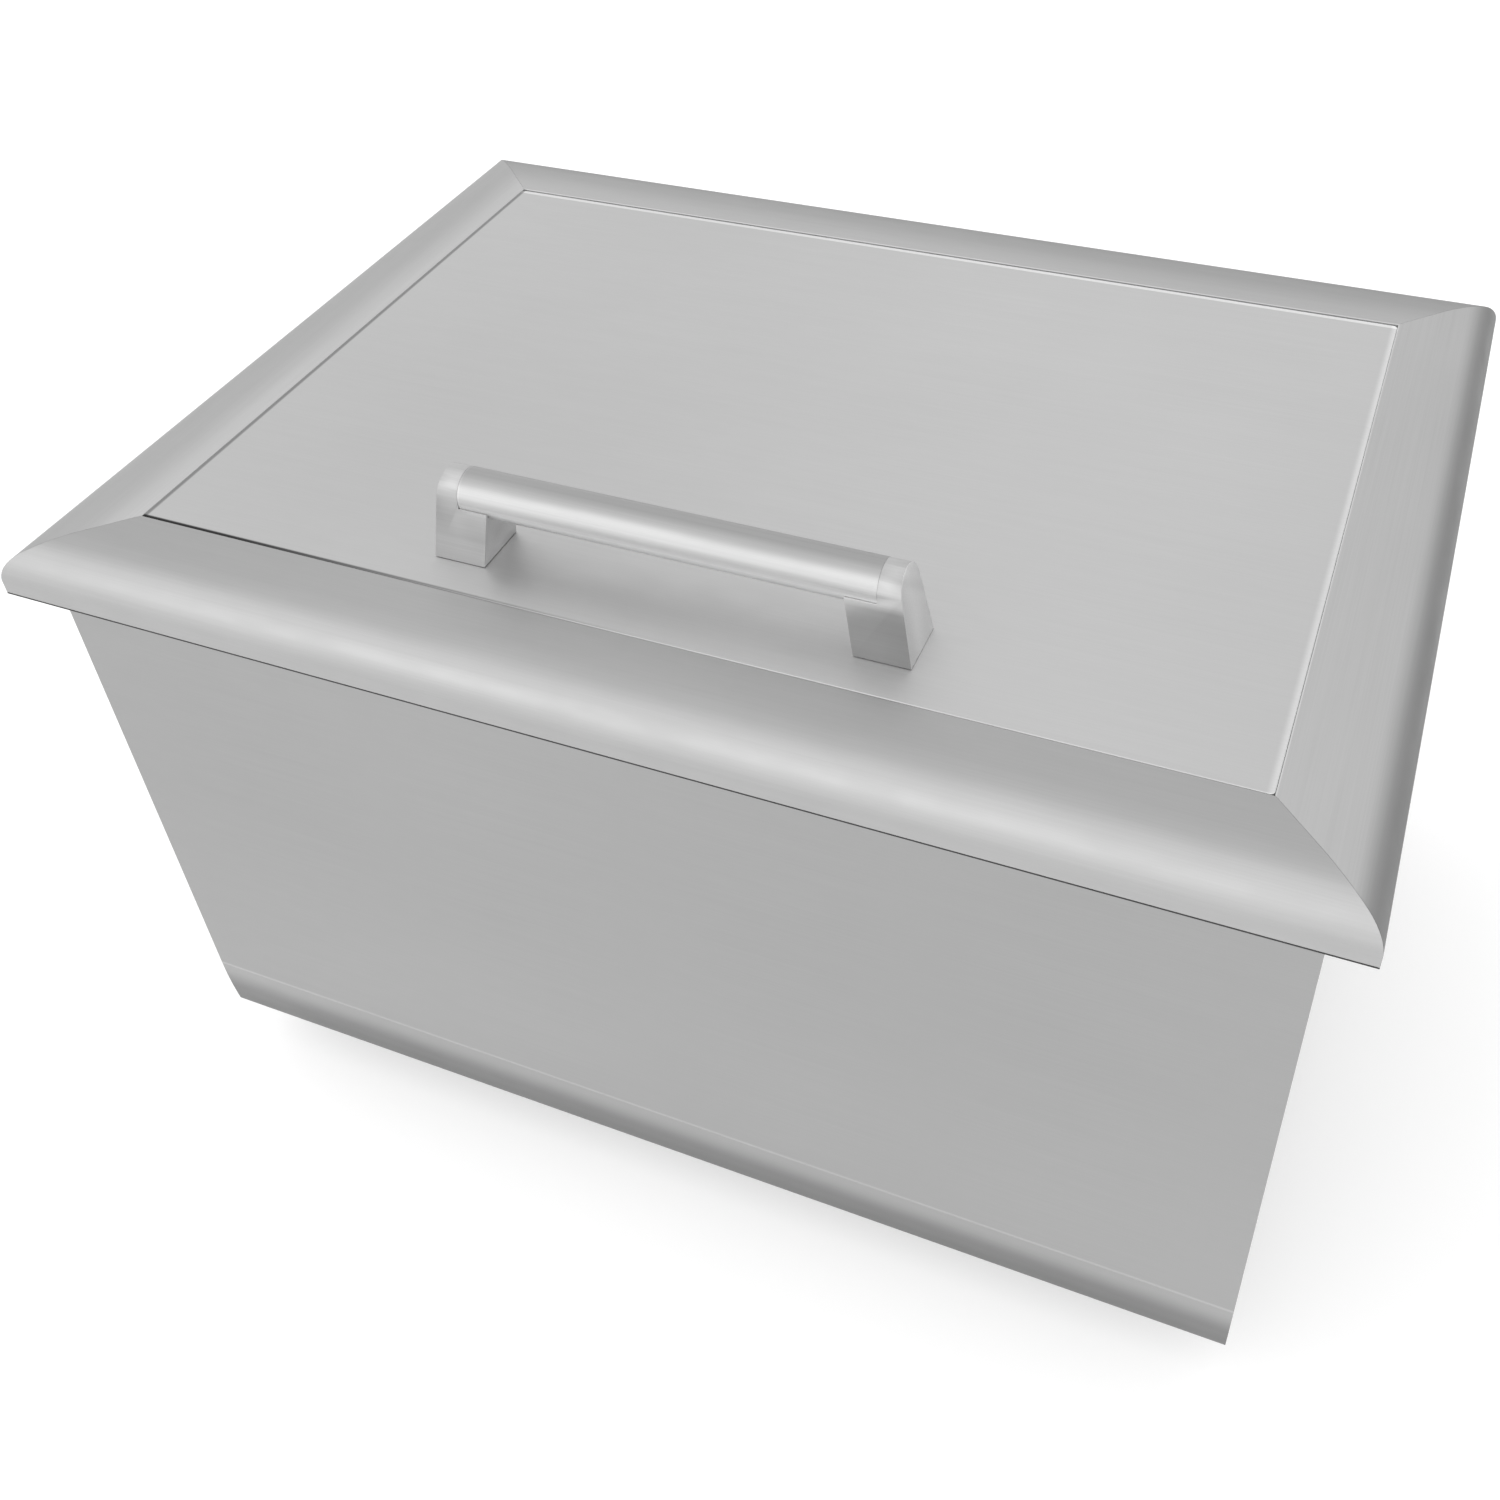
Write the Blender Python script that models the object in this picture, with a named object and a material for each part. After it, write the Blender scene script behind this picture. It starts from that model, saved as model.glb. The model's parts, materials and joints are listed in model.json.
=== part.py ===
"""Drop-in ice bin: an insulated tub that hangs by its trim frame in a worktop cut-out, with a hinged lid.

Metres, +Z up, +X to the right and +Y to the back. The origin is the middle of the cut-out, on the
worktop's surface.
"""
import math

import bmesh
import bpy
from mathutils import Matrix, Vector

# Clearances shared by all pieces
GAP = 0.0003
OVERRUN = 0.002

# Trim frame
FRAME_LENGTH = 0.572
FRAME_DEPTH = 0.418
RAIL_WIDTH = 0.044
RAIL_RISE = 0.0215
RAIL_SHEET = 0.0015
NOSE_RADIUS = 0.0126
CROWN_RADIUS = 0.0515
CROWN_TILT = math.radians(20)
INNER_EDGE_RADIUS = 0.0012
LIP_WIDTH = 0.0085
RIM_GASKET_THICKNESS = 0.0012
RIM_GASKET_EDGE = 0.0005
CLEAT_SETBACK = 0.022
CLEAT_WIDTH = 0.0125
CLEAT_LEG = 0.062
CLEAT_HEADROOM = 0.0006

# Outer shell
SHELL_SHEET = 0.0012
SHELL_END_SETBACK = 0.0169
SHELL_SETBACK = 0.0124
SHELL_DROP = 0.2962
EDGE_RUN = 0.0022
EDGE_DROP = 0.0356
EDGE_RADIUS = 0.003
SHELL_FLANGE = 0.026
PANEL_FLANGE = 0.020

# Inner tub and insulation
TUB_SHEET = 0.0012
TUB_FLANGE_SETBACK = 0.001
TUB_FLANGE_CORNER = 0.008
RISER_CORNER = 0.0008
LEDGE_WIDTH = 0.0125
BACK_LEDGE_WIDTH = 0.023
TUB_CORNER = 0.022
TUB_FLOOR_RADIUS = 0.018
FLOOR_FOAM = 0.030

# Lid
LID_GAP = 0.0005
LID_BACK_GAP = 0.001
LID_THICKNESS = 0.026
LID_SHEET = 0.0012
LID_CORNER = 0.002
LID_INSIDE_CORNER = 0.0008
LID_EDGE_RADIUS = 0.0015
INNER_PAN_FLANGE = 0.012
LID_GASKET_THICKNESS = 0.0029
LID_GASKET_WIDTH = 0.008
LID_GASKET_INSET = 0.002

# Lid hinge
HINGE_SETBACK = 0.010
HINGE_DROP = 0.005
PIN_RADIUS = 0.0019
PIN_HEAD_RADIUS = 0.0028
PIN_HEAD_THICKNESS = 0.0015
BUSH_WALL = 0.0007
BUSH_LENGTH = 0.006
BLOCK_LENGTH = 0.024
BLOCK_DEPTH = 0.020
BLOCK_BORE_END = 0.004

# Handle
HANDLE_SPAN = 0.1995
HANDLE_SETBACK = 0.0748
TUBE_RADIUS = 0.00975
TUBE_WALL = 0.0015
TUBE_LIFT = 0.0287
POST_BASE_DEPTH = 0.0258
POST_LENGTH = 0.0235
POST_SPLAY = 0.0046
CAP_LENGTH = 0.010
SADDLE_DROP = 0.003
SPIGOT_LENGTH = 0.012
HANDLE_SCREW_RADIUS = 0.0025
HANDLE_SCREW_HEAD_RADIUS = 0.0045
HANDLE_SCREW_HEAD_THICKNESS = 0.003
HANDLE_SCREW_GRIP = 0.012
HANDLE_WASHER_RADIUS = 0.011
HANDLE_WASHER_THICKNESS = 0.0015

# Rim screws, which hold the shell and the tub up to the corner cleats
RIM_SCREW_RADIUS = 0.002
RIM_SCREW_HEAD_RADIUS = 0.0038
RIM_SCREW_HEAD_THICKNESS = 0.0026
RIM_SCREW_GRIP = 0.009
RIM_SCREW_PLACE = 0.047
SOCKET_SHARE = 0.5
SOCKET_DEPTH_SHARE = 0.6

# Drain
DRAIN_RADIUS = 0.017
DRAIN_BORE = 0.013
DRAIN_FLANGE_RADIUS = 0.026
DRAIN_FLANGE_THICKNESS = 0.002
DRAIN_SEAT_DEPTH = 0.007
DRAIN_SEAT_RADIUS = 0.015
DRAIN_THROAT = 0.015
DRAIN_NECK = 0.014
SPOUT_RADIUS = 0.010
SPOUT_BORE = 0.0075
SPOUT_LENGTH = 0.020
SPOUT_BARB = 0.0008
BARB_PITCH = 0.006
BARB_COUNT = 3
DRAIN_WASHER_THICKNESS = 0.002
DRAIN_WASHER_RADIUS = 0.024
DRAIN_NUT_RADIUS = 0.025
DRAIN_NUT_THICKNESS = 0.008
STRAINER_THICKNESS = 0.001
STRAINER_HOLE_RADIUS = 0.0015
STRAINER_HOLE_CIRCLE = 0.0085
STRAINER_HOLE_COUNT = 8
STOPPER_LIP = 0.0022
STOPPER_TAPER = 0.0012
KNOB_RADIUS = 0.0065
KNOB_STEM_RADIUS = 0.0025
KNOB_LIFT = 0.004
KNOB_THICKNESS = 0.0035
KNOB_COLLAR_RADIUS = 0.0047
KNOB_BEVEL = 0.0012

# Smoothness of round shapes
CORNER_STEPS = 6
NOSE_STEPS = 8
CROWN_STEPS = 4
EDGE_STEPS = 10
ROUND_STEPS = 24
SMALL_STEPS = 16
HEX_SIDES = 6
SMOOTH_ANGLE = math.radians(40)

# Levels and places that follow from the sizes above
HALF_LENGTH = FRAME_LENGTH / 2
HALF_DEPTH = FRAME_DEPTH / 2
FOOT_LEVEL = RIM_GASKET_EDGE + GAP
LIP_LEVEL = RIM_GASKET_THICKNESS + GAP
TUB_FLANGE_LEVEL = LIP_LEVEL + RAIL_SHEET + GAP
SHELL_TOP = TUB_FLANGE_LEVEL - GAP
PANEL_TOP = SHELL_TOP - SHELL_SHEET - GAP
LID_BOTTOM = RAIL_RISE - LID_THICKNESS
LEDGE_LEVEL = LID_BOTTOM - LID_GASKET_THICKNESS - 2 * GAP
TUB_FLOOR_UNDER = -SHELL_DROP + SHELL_SHEET + FLOOR_FOAM + 2 * GAP
TUB_FLOOR = TUB_FLOOR_UNDER + TUB_SHEET
CAVITY_INSET = RAIL_WIDTH + LEDGE_WIDTH
CAVITY_BACK_INSET = RAIL_WIDTH + BACK_LEDGE_WIDTH
SHELL_LENGTH = FRAME_LENGTH - 2 * SHELL_END_SETBACK
SHELL_HALF_DEPTH = HALF_DEPTH - SHELL_SETBACK
LID_INSET = RAIL_WIDTH + LID_GAP
LID_BACK_INSET = RAIL_WIDTH + LID_BACK_GAP
HINGE_Y = HALF_DEPTH - LID_BACK_INSET - HINGE_SETBACK
HINGE_Z = RAIL_RISE - HINGE_DROP
HANDLE_Y = -HALF_DEPTH + HANDLE_SETBACK
POST_FOOT = RAIL_RISE + GAP
TUBE_Z = RAIL_RISE + TUBE_LIFT
TUBE_HALF = HANDLE_SPAN / 2 - CAP_LENGTH
HANDLE_SCREW_X = HANDLE_SPAN / 2 - POST_LENGTH / 2 + POST_SPLAY / 2
BUSH_RADIUS = PIN_RADIUS + GAP + BUSH_WALL
SIDES = {"left": -1, "right": 1}
ENDS = {"front": -1, "back": 1}


def clear_scene():
    for item in list(bpy.data.objects):
        bpy.data.objects.remove(item, do_unlink=True)


def material(name, colour, roughness, metallic):
    item = bpy.data.materials.new(name)
    item.use_nodes = True
    shader = item.node_tree.nodes["Principled BSDF"]
    shader.inputs["Base Color"].default_value = (*colour, 1)
    shader.inputs["Roughness"].default_value = roughness
    shader.inputs["Metallic"].default_value = metallic
    item.diffuse_color = (*colour, 1)
    return item


def make_materials():
    return {
        "rail": material("rail steel", (0.47, 0.47, 0.47), 0.34, 1.0),
        "shell": material("shell steel", (0.37, 0.37, 0.37), 0.42, 1.0),
        "tub": material("tub steel", (0.58, 0.58, 0.58), 0.30, 1.0),
        "lid": material("lid steel", (0.585, 0.585, 0.585), 0.38, 1.0),
        "handle": material("handle steel", (0.47, 0.47, 0.47), 0.28, 1.0),
        "screw": material("screw steel", (0.50, 0.50, 0.51), 0.35, 1.0),
        "cleat": material("cast cleat", (0.42, 0.42, 0.43), 0.55, 1.0),
        "foam": material("insulation foam", (0.86, 0.84, 0.76), 0.95, 0.0),
        "seal": material("seal rubber", (0.05, 0.05, 0.05), 0.75, 0.0),
        "nylon": material("nylon", (0.80, 0.79, 0.75), 0.50, 0.0),
        "drain": material("drain plastic", (0.12, 0.12, 0.12), 0.45, 0.0),
        "stopper": material("stopper rubber", (0.07, 0.07, 0.07), 0.70, 0.0),
    }


def add_object(name, mesh, finish=None):
    item = bpy.data.objects.new(name, mesh)
    bpy.context.scene.collection.objects.link(item)
    if finish is not None:
        mesh.materials.append(finish)
    return item


def mesh_from(name, bm):
    bmesh.ops.recalc_face_normals(bm, faces=bm.faces)
    mesh = bpy.data.meshes.new(name)
    bm.to_mesh(mesh)
    bm.free()
    mesh.shade_smooth()
    mesh.set_sharp_from_angle(angle=SMOOTH_ANGLE)
    return mesh


def loft(name, rings, finish=None, ring_shaped=False):
    """Skin over rings of equal length. The ends are capped, or joined when the piece is ring shaped."""
    bm = bmesh.new()
    loops = [[bm.verts.new(point) for point in ring] for ring in rings]
    count = len(loops[0])
    pairs = list(zip(loops, loops[1:]))
    if ring_shaped:
        pairs.append((loops[-1], loops[0]))
    for low, high in pairs:
        for i in range(count):
            j = (i + 1) % count
            bm.faces.new((low[i], low[j], high[j], high[i]))
    if not ring_shaped:
        bm.faces.new(loops[0])
        bm.faces.new(loops[-1])
    return add_object(name, mesh_from(name, bm), finish)


def box_between(name, low, high, finish=None):
    bm = bmesh.new()
    bmesh.ops.create_cube(bm, size=1)
    centre = (Vector(low) + Vector(high)) / 2
    size = Vector(high) - Vector(low)
    place = Matrix.Translation(centre) @ Matrix.Diagonal((*size, 1))
    bmesh.ops.transform(bm, matrix=place, verts=bm.verts)
    return add_object(name, mesh_from(name, bm), finish)


def circle(radius, level, centre=(0, 0), steps=ROUND_STEPS):
    points = []
    for i in range(steps):
        angle = 2 * math.pi * i / steps
        x = centre[0] + radius * math.cos(angle)
        y = centre[1] + radius * math.sin(angle)
        points.append(Vector((x, y, level)))
    return points


def turned(name, outline, finish=None, centre=(0, 0), steps=ROUND_STEPS, ring_shaped=False):
    """A round piece on an upright axis. The outline is a list of radius and level."""
    rings = [circle(radius, level, centre, steps) for radius, level in outline]
    return loft(name, rings, finish, ring_shaped)


def lay_along_x(item, start, side=1):
    """Turn an upright piece so that its own +Z points to the left or right, and set its foot at start."""
    item.rotation_euler = (0, side * math.pi / 2, 0)
    item.location = start
    return item


def cut(item, cutter, operation="DIFFERENCE"):
    cutter.hide_render = True
    cutter.display_type = "WIRE"
    step = item.modifiers.new(cutter.name, "BOOLEAN")
    step.operation = operation
    step.solver = "EXACT"
    step.object = cutter


def rounded_rectangle(front, back, half_length, corner, level):
    """A ring of points with the same count at every size, from its front and back edges."""
    centres = [
        (half_length - corner, back - corner, 0),
        (corner - half_length, back - corner, math.pi / 2),
        (corner - half_length, front + corner, math.pi),
        (half_length - corner, front + corner, 3 * math.pi / 2),
    ]
    points = []
    for x, y, start in centres:
        for i in range(CORNER_STEPS + 1):
            angle = start + math.pi / 2 * i / CORNER_STEPS
            points.append(Vector((x + corner * math.cos(angle), y + corner * math.sin(angle), level)))
    return points


def inset_rectangle(inset, corner, level, back_inset=None):
    """A ring that lies a given distance inside the frame's outline."""
    back = inset if back_inset is None else back_inset
    return rounded_rectangle(inset - HALF_DEPTH, HALF_DEPTH - back, HALF_LENGTH - inset, corner, level)


def rail_section():
    """The rail's closed section, as distance in from the frame's outline and level."""
    crown_drop = CROWN_RADIUS * (1 - math.cos(CROWN_TILT))
    nose_centre = Vector((NOSE_RADIUS, RAIL_RISE - crown_drop - NOSE_RADIUS * math.cos(CROWN_TILT)))
    toward_crown = Vector((math.sin(CROWN_TILT), -math.cos(CROWN_TILT)))
    crown_centre = nose_centre + (CROWN_RADIUS - NOSE_RADIUS) * toward_crown

    def skin(depth):
        points = []
        for i in range(NOSE_STEPS):
            tilt = math.pi / 2 + (CROWN_TILT - math.pi / 2) * i / NOSE_STEPS
            outward = Vector((-math.sin(tilt), math.cos(tilt)))
            points.append(nose_centre + (NOSE_RADIUS - depth) * outward)
        for i in range(CROWN_STEPS + 1):
            tilt = CROWN_TILT * (1 - i / CROWN_STEPS)
            outward = Vector((-math.sin(tilt), math.cos(tilt)))
            points.append(crown_centre + (CROWN_RADIUS - depth) * outward)
        return points

    edge_centre = Vector((RAIL_WIDTH - INNER_EDGE_RADIUS, RAIL_RISE - INNER_EDGE_RADIUS))
    edge = []
    for i in range(CORNER_STEPS + 1):
        angle = math.pi / 2 * (1 - i / CORNER_STEPS)
        edge.append(edge_centre + INNER_EDGE_RADIUS * Vector((math.cos(angle), math.sin(angle))))
    foot = LEDGE_LEVEL + GAP
    section = [Vector((0, FOOT_LEVEL))]
    section += skin(0)
    section += edge
    section += [Vector((RAIL_WIDTH, foot)), Vector((RAIL_WIDTH - RAIL_SHEET, foot))]
    section += [Vector((RAIL_WIDTH - RAIL_SHEET, RAIL_RISE - RAIL_SHEET))]
    section += reversed(skin(RAIL_SHEET))
    section += [Vector((RAIL_SHEET, LIP_LEVEL + RAIL_SHEET)), Vector((LIP_WIDTH, LIP_LEVEL + RAIL_SHEET))]
    section += [Vector((LIP_WIDTH, LIP_LEVEL)), Vector((RAIL_SHEET, LIP_LEVEL))]
    section += [Vector((RAIL_SHEET, FOOT_LEVEL))]
    return section


def rail(name, length, finish):
    """A rail along X with mitred ends. Its outer edge is on Y = 0 and it grows inwards along +Y."""
    section = rail_section()
    rings = []
    for end in ENDS.values():
        ring = []
        for point in section:
            ring.append(Vector((end * (length / 2 - point.x - GAP / 2), point.x, point.y)))
        rings.append(ring)
    return loft(name, rings, finish)


def make_frame(finish):
    places = {
        "rail_front": (FRAME_LENGTH, (0, -HALF_DEPTH, 0), 0),
        "rail_right": (FRAME_DEPTH, (HALF_LENGTH, 0, 0), math.pi / 2),
        "rail_back": (FRAME_LENGTH, (0, HALF_DEPTH, 0), math.pi),
        "rail_left": (FRAME_DEPTH, (-HALF_LENGTH, 0, 0), -math.pi / 2),
    }
    for name, (length, place, turn) in places.items():
        item = rail(name, length, finish["rail"])
        item.location = place
        item.rotation_euler = (0, 0, turn)
    for name, side in SIDES.items():
        outline = [(BUSH_RADIUS + GAP, 0), (BUSH_RADIUS + GAP, BUSH_LENGTH + OVERRUN)]
        hole = turned(f"bush_hole_{name}", outline, steps=SMALL_STEPS)
        lay_along_x(hole, (side * (HALF_LENGTH - RAIL_WIDTH - OVERRUN), HINGE_Y, HINGE_Z), side)
        cut(bpy.data.objects[f"rail_{name}"], hole)


def rim_gasket(name, low, high, ridge_low, ridge_high, finish):
    """A soft strip under one rail, thin below the rail's outer edge and thicker behind it."""
    strip = box_between(f"rim_gasket_{name}", (*low, 0), (*high, RIM_GASKET_EDGE), finish["seal"])
    ridge = box_between(f"ridge_{name}", (*ridge_low, RIM_GASKET_EDGE / 2),
                        (*ridge_high, RIM_GASKET_THICKNESS))
    cut(strip, ridge, "UNION")


def make_rim_gaskets(finish):
    step = RAIL_SHEET + GAP
    for name, end in ENDS.items():
        edge = end * HALF_DEPTH
        near = end * (HALF_DEPTH - step)
        far = end * (HALF_DEPTH - LIP_WIDTH)
        rim_gasket(name, (-HALF_LENGTH, min(edge, far)), (HALF_LENGTH, max(edge, far)),
                   (step - HALF_LENGTH, min(near, far)), (HALF_LENGTH - step, max(near, far)), finish)
    reach = HALF_DEPTH - LIP_WIDTH - GAP
    for name, side in SIDES.items():
        edge = side * HALF_LENGTH
        near = side * (HALF_LENGTH - step)
        far = side * (HALF_LENGTH - LIP_WIDTH)
        rim_gasket(name, (min(edge, far), -reach), (max(edge, far), reach),
                   (min(near, far), -reach), (max(near, far), reach), finish)


def make_cleats(finish):
    """Cast corner pieces inside the hollow rails, which hold the mitres together."""
    low = TUB_FLANGE_LEVEL + TUB_SHEET + GAP
    high = RAIL_RISE - RAIL_SHEET - CLEAT_HEADROOM
    inner = CLEAT_SETBACK + CLEAT_WIDTH
    tip = CLEAT_SETBACK + CLEAT_LEG
    near = CLEAT_SETBACK
    plan = [(near, near), (tip, near), (tip, inner), (inner, inner), (inner, tip), (near, tip)]
    for end_name, end in ENDS.items():
        for side_name, side in SIDES.items():
            rings = []
            for level in (low, high):
                ring = []
                for x, y in plan:
                    ring.append(Vector((side * (HALF_LENGTH - x), end * (HALF_DEPTH - y), level)))
                rings.append(ring)
            loft(f"corner_cleat_{end_name}_{side_name}", rings, finish["cleat"])


def screw(name, place, shank_radius, head_radius, head_thickness, length, finish):
    """An upright screw with its head at the bottom. The place is the seat under its head."""
    outline = [
        (head_radius, -head_thickness),
        (head_radius, 0),
        (shank_radius, 0),
        (shank_radius, length),
    ]
    item = turned(name, outline, finish, steps=SMALL_STEPS)
    item.location = place
    depth = head_thickness * SOCKET_DEPTH_SHARE
    across = head_radius * SOCKET_SHARE
    socket = turned(f"socket_{name}", [(across, -OVERRUN), (across, depth)], steps=HEX_SIDES)
    socket.location = Vector(place) - Vector((0, 0, head_thickness))
    cut(item, socket)
    return item


def rim_screw_places():
    """One screw in each leg of each cleat, with the level of the flange that its head bears on."""
    middle = CLEAT_SETBACK + CLEAT_WIDTH / 2
    along = CLEAT_SETBACK + RIM_SCREW_PLACE
    places = {}
    for end_name, end in ENDS.items():
        for side_name, side in SIDES.items():
            corner = f"{end_name}_{side_name}"
            x_along = side * (HALF_LENGTH - along)
            y_along = end * (HALF_DEPTH - along)
            x_middle = side * (HALF_LENGTH - middle)
            y_middle = end * (HALF_DEPTH - middle)
            places[f"rim_screw_{corner}_long"] = (x_along, y_middle, SHELL_TOP - SHELL_SHEET)
            places[f"rim_screw_{corner}_short"] = (x_middle, y_along, PANEL_TOP - SHELL_SHEET)
    return places


def make_rim_screws(finish):
    top = TUB_FLANGE_LEVEL + TUB_SHEET + GAP + RIM_SCREW_GRIP
    for name, (x, y, level) in rim_screw_places().items():
        seat = level - GAP
        screw(name, (x, y, seat), RIM_SCREW_RADIUS, RIM_SCREW_HEAD_RADIUS,
              RIM_SCREW_HEAD_THICKNESS, top - seat, finish["screw"])
        radius = RIM_SCREW_RADIUS + GAP
        outline = [(radius, level - OVERRUN), (radius, top + GAP)]
        hole = turned(f"hole_{name}", outline, centre=(x, y), steps=SMALL_STEPS)
        end_name, side_name = name.split("_")[2:4]
        cut(bpy.data.objects["tub_liner"], hole)
        cut(bpy.data.objects["shell_wrapper"], hole)
        cut(bpy.data.objects[f"end_panel_{side_name}"], hole)
        cut(bpy.data.objects[f"corner_cleat_{end_name}_{side_name}"], hole)


def shell_outline(inset, top):
    """The shell's side outline from its front top edge round the bottom to its back top edge.

    Near the bottom the wall draws in along a shallow curve, which ends in a small round corner.
    """
    bend_start = EDGE_DROP - SHELL_DROP
    sweep = (EDGE_RUN ** 2 + EDGE_DROP ** 2) / (2 * EDGE_RUN)
    reach = sweep - EDGE_RADIUS
    turn = math.asin((EDGE_DROP - EDGE_RADIUS) / reach)
    sweep_y = SHELL_HALF_DEPTH - sweep
    corner_y = sweep_y + reach * math.cos(turn)
    corner_z = EDGE_RADIUS - SHELL_DROP
    wall = sweep - inset
    corner = EDGE_RADIUS - inset
    quarter = []
    for i in range(EDGE_STEPS):
        angle = turn * i / EDGE_STEPS
        quarter.append((sweep_y + wall * math.cos(angle), bend_start - wall * math.sin(angle)))
    for i in range(CORNER_STEPS + 1):
        angle = turn + (math.pi / 2 - turn) * i / CORNER_STEPS
        quarter.append((corner_y + corner * math.cos(angle), corner_z - corner * math.sin(angle)))
    half = SHELL_HALF_DEPTH - inset
    front = [(-half, top)] + [(-y, z) for y, z in quarter]
    back = list(reversed(quarter)) + [(half, top)]
    return front + back


def make_shell(finish):
    """The U-shaped sheet: front, bottom and back in one piece, with flanges turned in along the top."""
    outer = shell_outline(0, SHELL_TOP)
    inner = shell_outline(SHELL_SHEET, SHELL_TOP - SHELL_SHEET)
    flange_edge = SHELL_HALF_DEPTH - SHELL_FLANGE
    section = outer + [(flange_edge, SHELL_TOP), (flange_edge, SHELL_TOP - SHELL_SHEET)]
    section += list(reversed(inner)) + [(-flange_edge, SHELL_TOP - SHELL_SHEET), (-flange_edge, SHELL_TOP)]
    rings = []
    for side in SIDES.values():
        rings.append([Vector((side * SHELL_LENGTH / 2, y, z)) for y, z in section])
    loft("shell_wrapper", rings, finish["shell"])


def make_end_panels(finish):
    """Shallow trays that close the two ends of the shell."""
    outline = shell_outline(SHELL_SHEET + GAP, PANEL_TOP)
    hollow = shell_outline(2 * SHELL_SHEET + GAP, PANEL_TOP - SHELL_SHEET)
    for name, side in SIDES.items():
        outside = side * SHELL_LENGTH / 2
        inside = side * (SHELL_LENGTH / 2 - PANEL_FLANGE)
        plate = side * (SHELL_LENGTH / 2 - SHELL_SHEET)
        rings = [
            [Vector((outside, y, z)) for y, z in outline],
            [Vector((inside, y, z)) for y, z in outline],
            [Vector((inside, y, z)) for y, z in hollow],
            [Vector((plate, y, z)) for y, z in hollow],
        ]
        loft(f"end_panel_{name}", rings, finish["shell"])


def bowl_rings(sheet, top, floor):
    """Rings of the tub's wall from its floor up, as the inner face or, with a sheet, as the outer face."""
    radius = TUB_FLOOR_RADIUS + sheet
    rings = []
    for i in range(CORNER_STEPS + 1):
        angle = math.pi / 2 * i / CORNER_STEPS
        draw = radius * (1 - math.sin(angle))
        level = floor + radius * (1 - math.cos(angle))
        corner = TUB_CORNER + sheet - draw * TUB_CORNER / (TUB_CORNER + radius)
        inset = CAVITY_INSET - sheet + draw
        rings.append(inset_rectangle(inset, corner, level, CAVITY_BACK_INSET - sheet + draw))
    rings.append(inset_rectangle(CAVITY_INSET - sheet, TUB_CORNER + sheet, top, CAVITY_BACK_INSET - sheet))
    return rings


def make_tub(finish):
    """The one-piece tub with its ledge for the lid and the flange that it hangs by."""
    flange_edge = LIP_WIDTH + TUB_FLANGE_SETBACK
    riser = RAIL_WIDTH - RAIL_SHEET - GAP
    under = TUB_FLANGE_LEVEL
    over = TUB_FLANGE_LEVEL + TUB_SHEET
    rings = bowl_rings(0, LEDGE_LEVEL, TUB_FLOOR)
    rings.append(inset_rectangle(riser, RISER_CORNER, LEDGE_LEVEL))
    rings.append(inset_rectangle(riser, RISER_CORNER, over))
    rings.append(inset_rectangle(flange_edge, TUB_FLANGE_CORNER, over))
    rings.append(inset_rectangle(flange_edge, TUB_FLANGE_CORNER, under))
    rings.append(inset_rectangle(riser - TUB_SHEET, RISER_CORNER + TUB_SHEET, under))
    rings.append(inset_rectangle(riser - TUB_SHEET, RISER_CORNER + TUB_SHEET, LEDGE_LEVEL - TUB_SHEET))
    rings += list(reversed(bowl_rings(TUB_SHEET, LEDGE_LEVEL - TUB_SHEET, TUB_FLOOR_UNDER)))
    loft("tub_liner", rings, finish["tub"])


def make_foam(finish):
    """Insulation boards between the shell and the tub."""
    wall = SHELL_SHEET + GAP
    top = LEDGE_LEVEL - TUB_SHEET - GAP
    foot = TUB_FLOOR_UNDER
    length = SHELL_LENGTH / 2 - PANEL_FLANGE - GAP
    tub_front = CAVITY_INSET - TUB_SHEET - GAP - HALF_DEPTH
    tub_back = HALF_DEPTH - CAVITY_BACK_INSET + TUB_SHEET + GAP
    tub_side = HALF_LENGTH - CAVITY_INSET + TUB_SHEET + GAP
    board_face = SHELL_HALF_DEPTH - wall
    box_between("foam_front", (-length, -board_face, foot), (length, tub_front, top), finish["foam"])
    box_between("foam_back", (-length, tub_back, foot), (length, board_face, top), finish["foam"])
    for name, side in SIDES.items():
        near = side * tub_side
        far = side * (SHELL_LENGTH / 2 - wall)
        box_between(f"foam_{name}", (min(near, far), tub_front + GAP, foot),
                    (max(near, far), tub_back - GAP, top), finish["foam"])
    half = SHELL_HALF_DEPTH - EDGE_RUN - EDGE_RADIUS - GAP
    low = -SHELL_DROP + SHELL_SHEET + GAP
    high = low + FLOOR_FOAM
    board = box_between("foam_bottom", (-length, -half, low), (length, half, high), finish["foam"])
    radius = DRAIN_RADIUS + GAP
    cut(board, turned("foam_drain_hole", [(radius, low - OVERRUN), (radius, high + OVERRUN)]))


def lid_rectangle(draw, corner, level):
    """The lid's outline, drawn in by a distance."""
    return inset_rectangle(LID_INSET + draw, corner, level, LID_BACK_INSET + draw)


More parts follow.
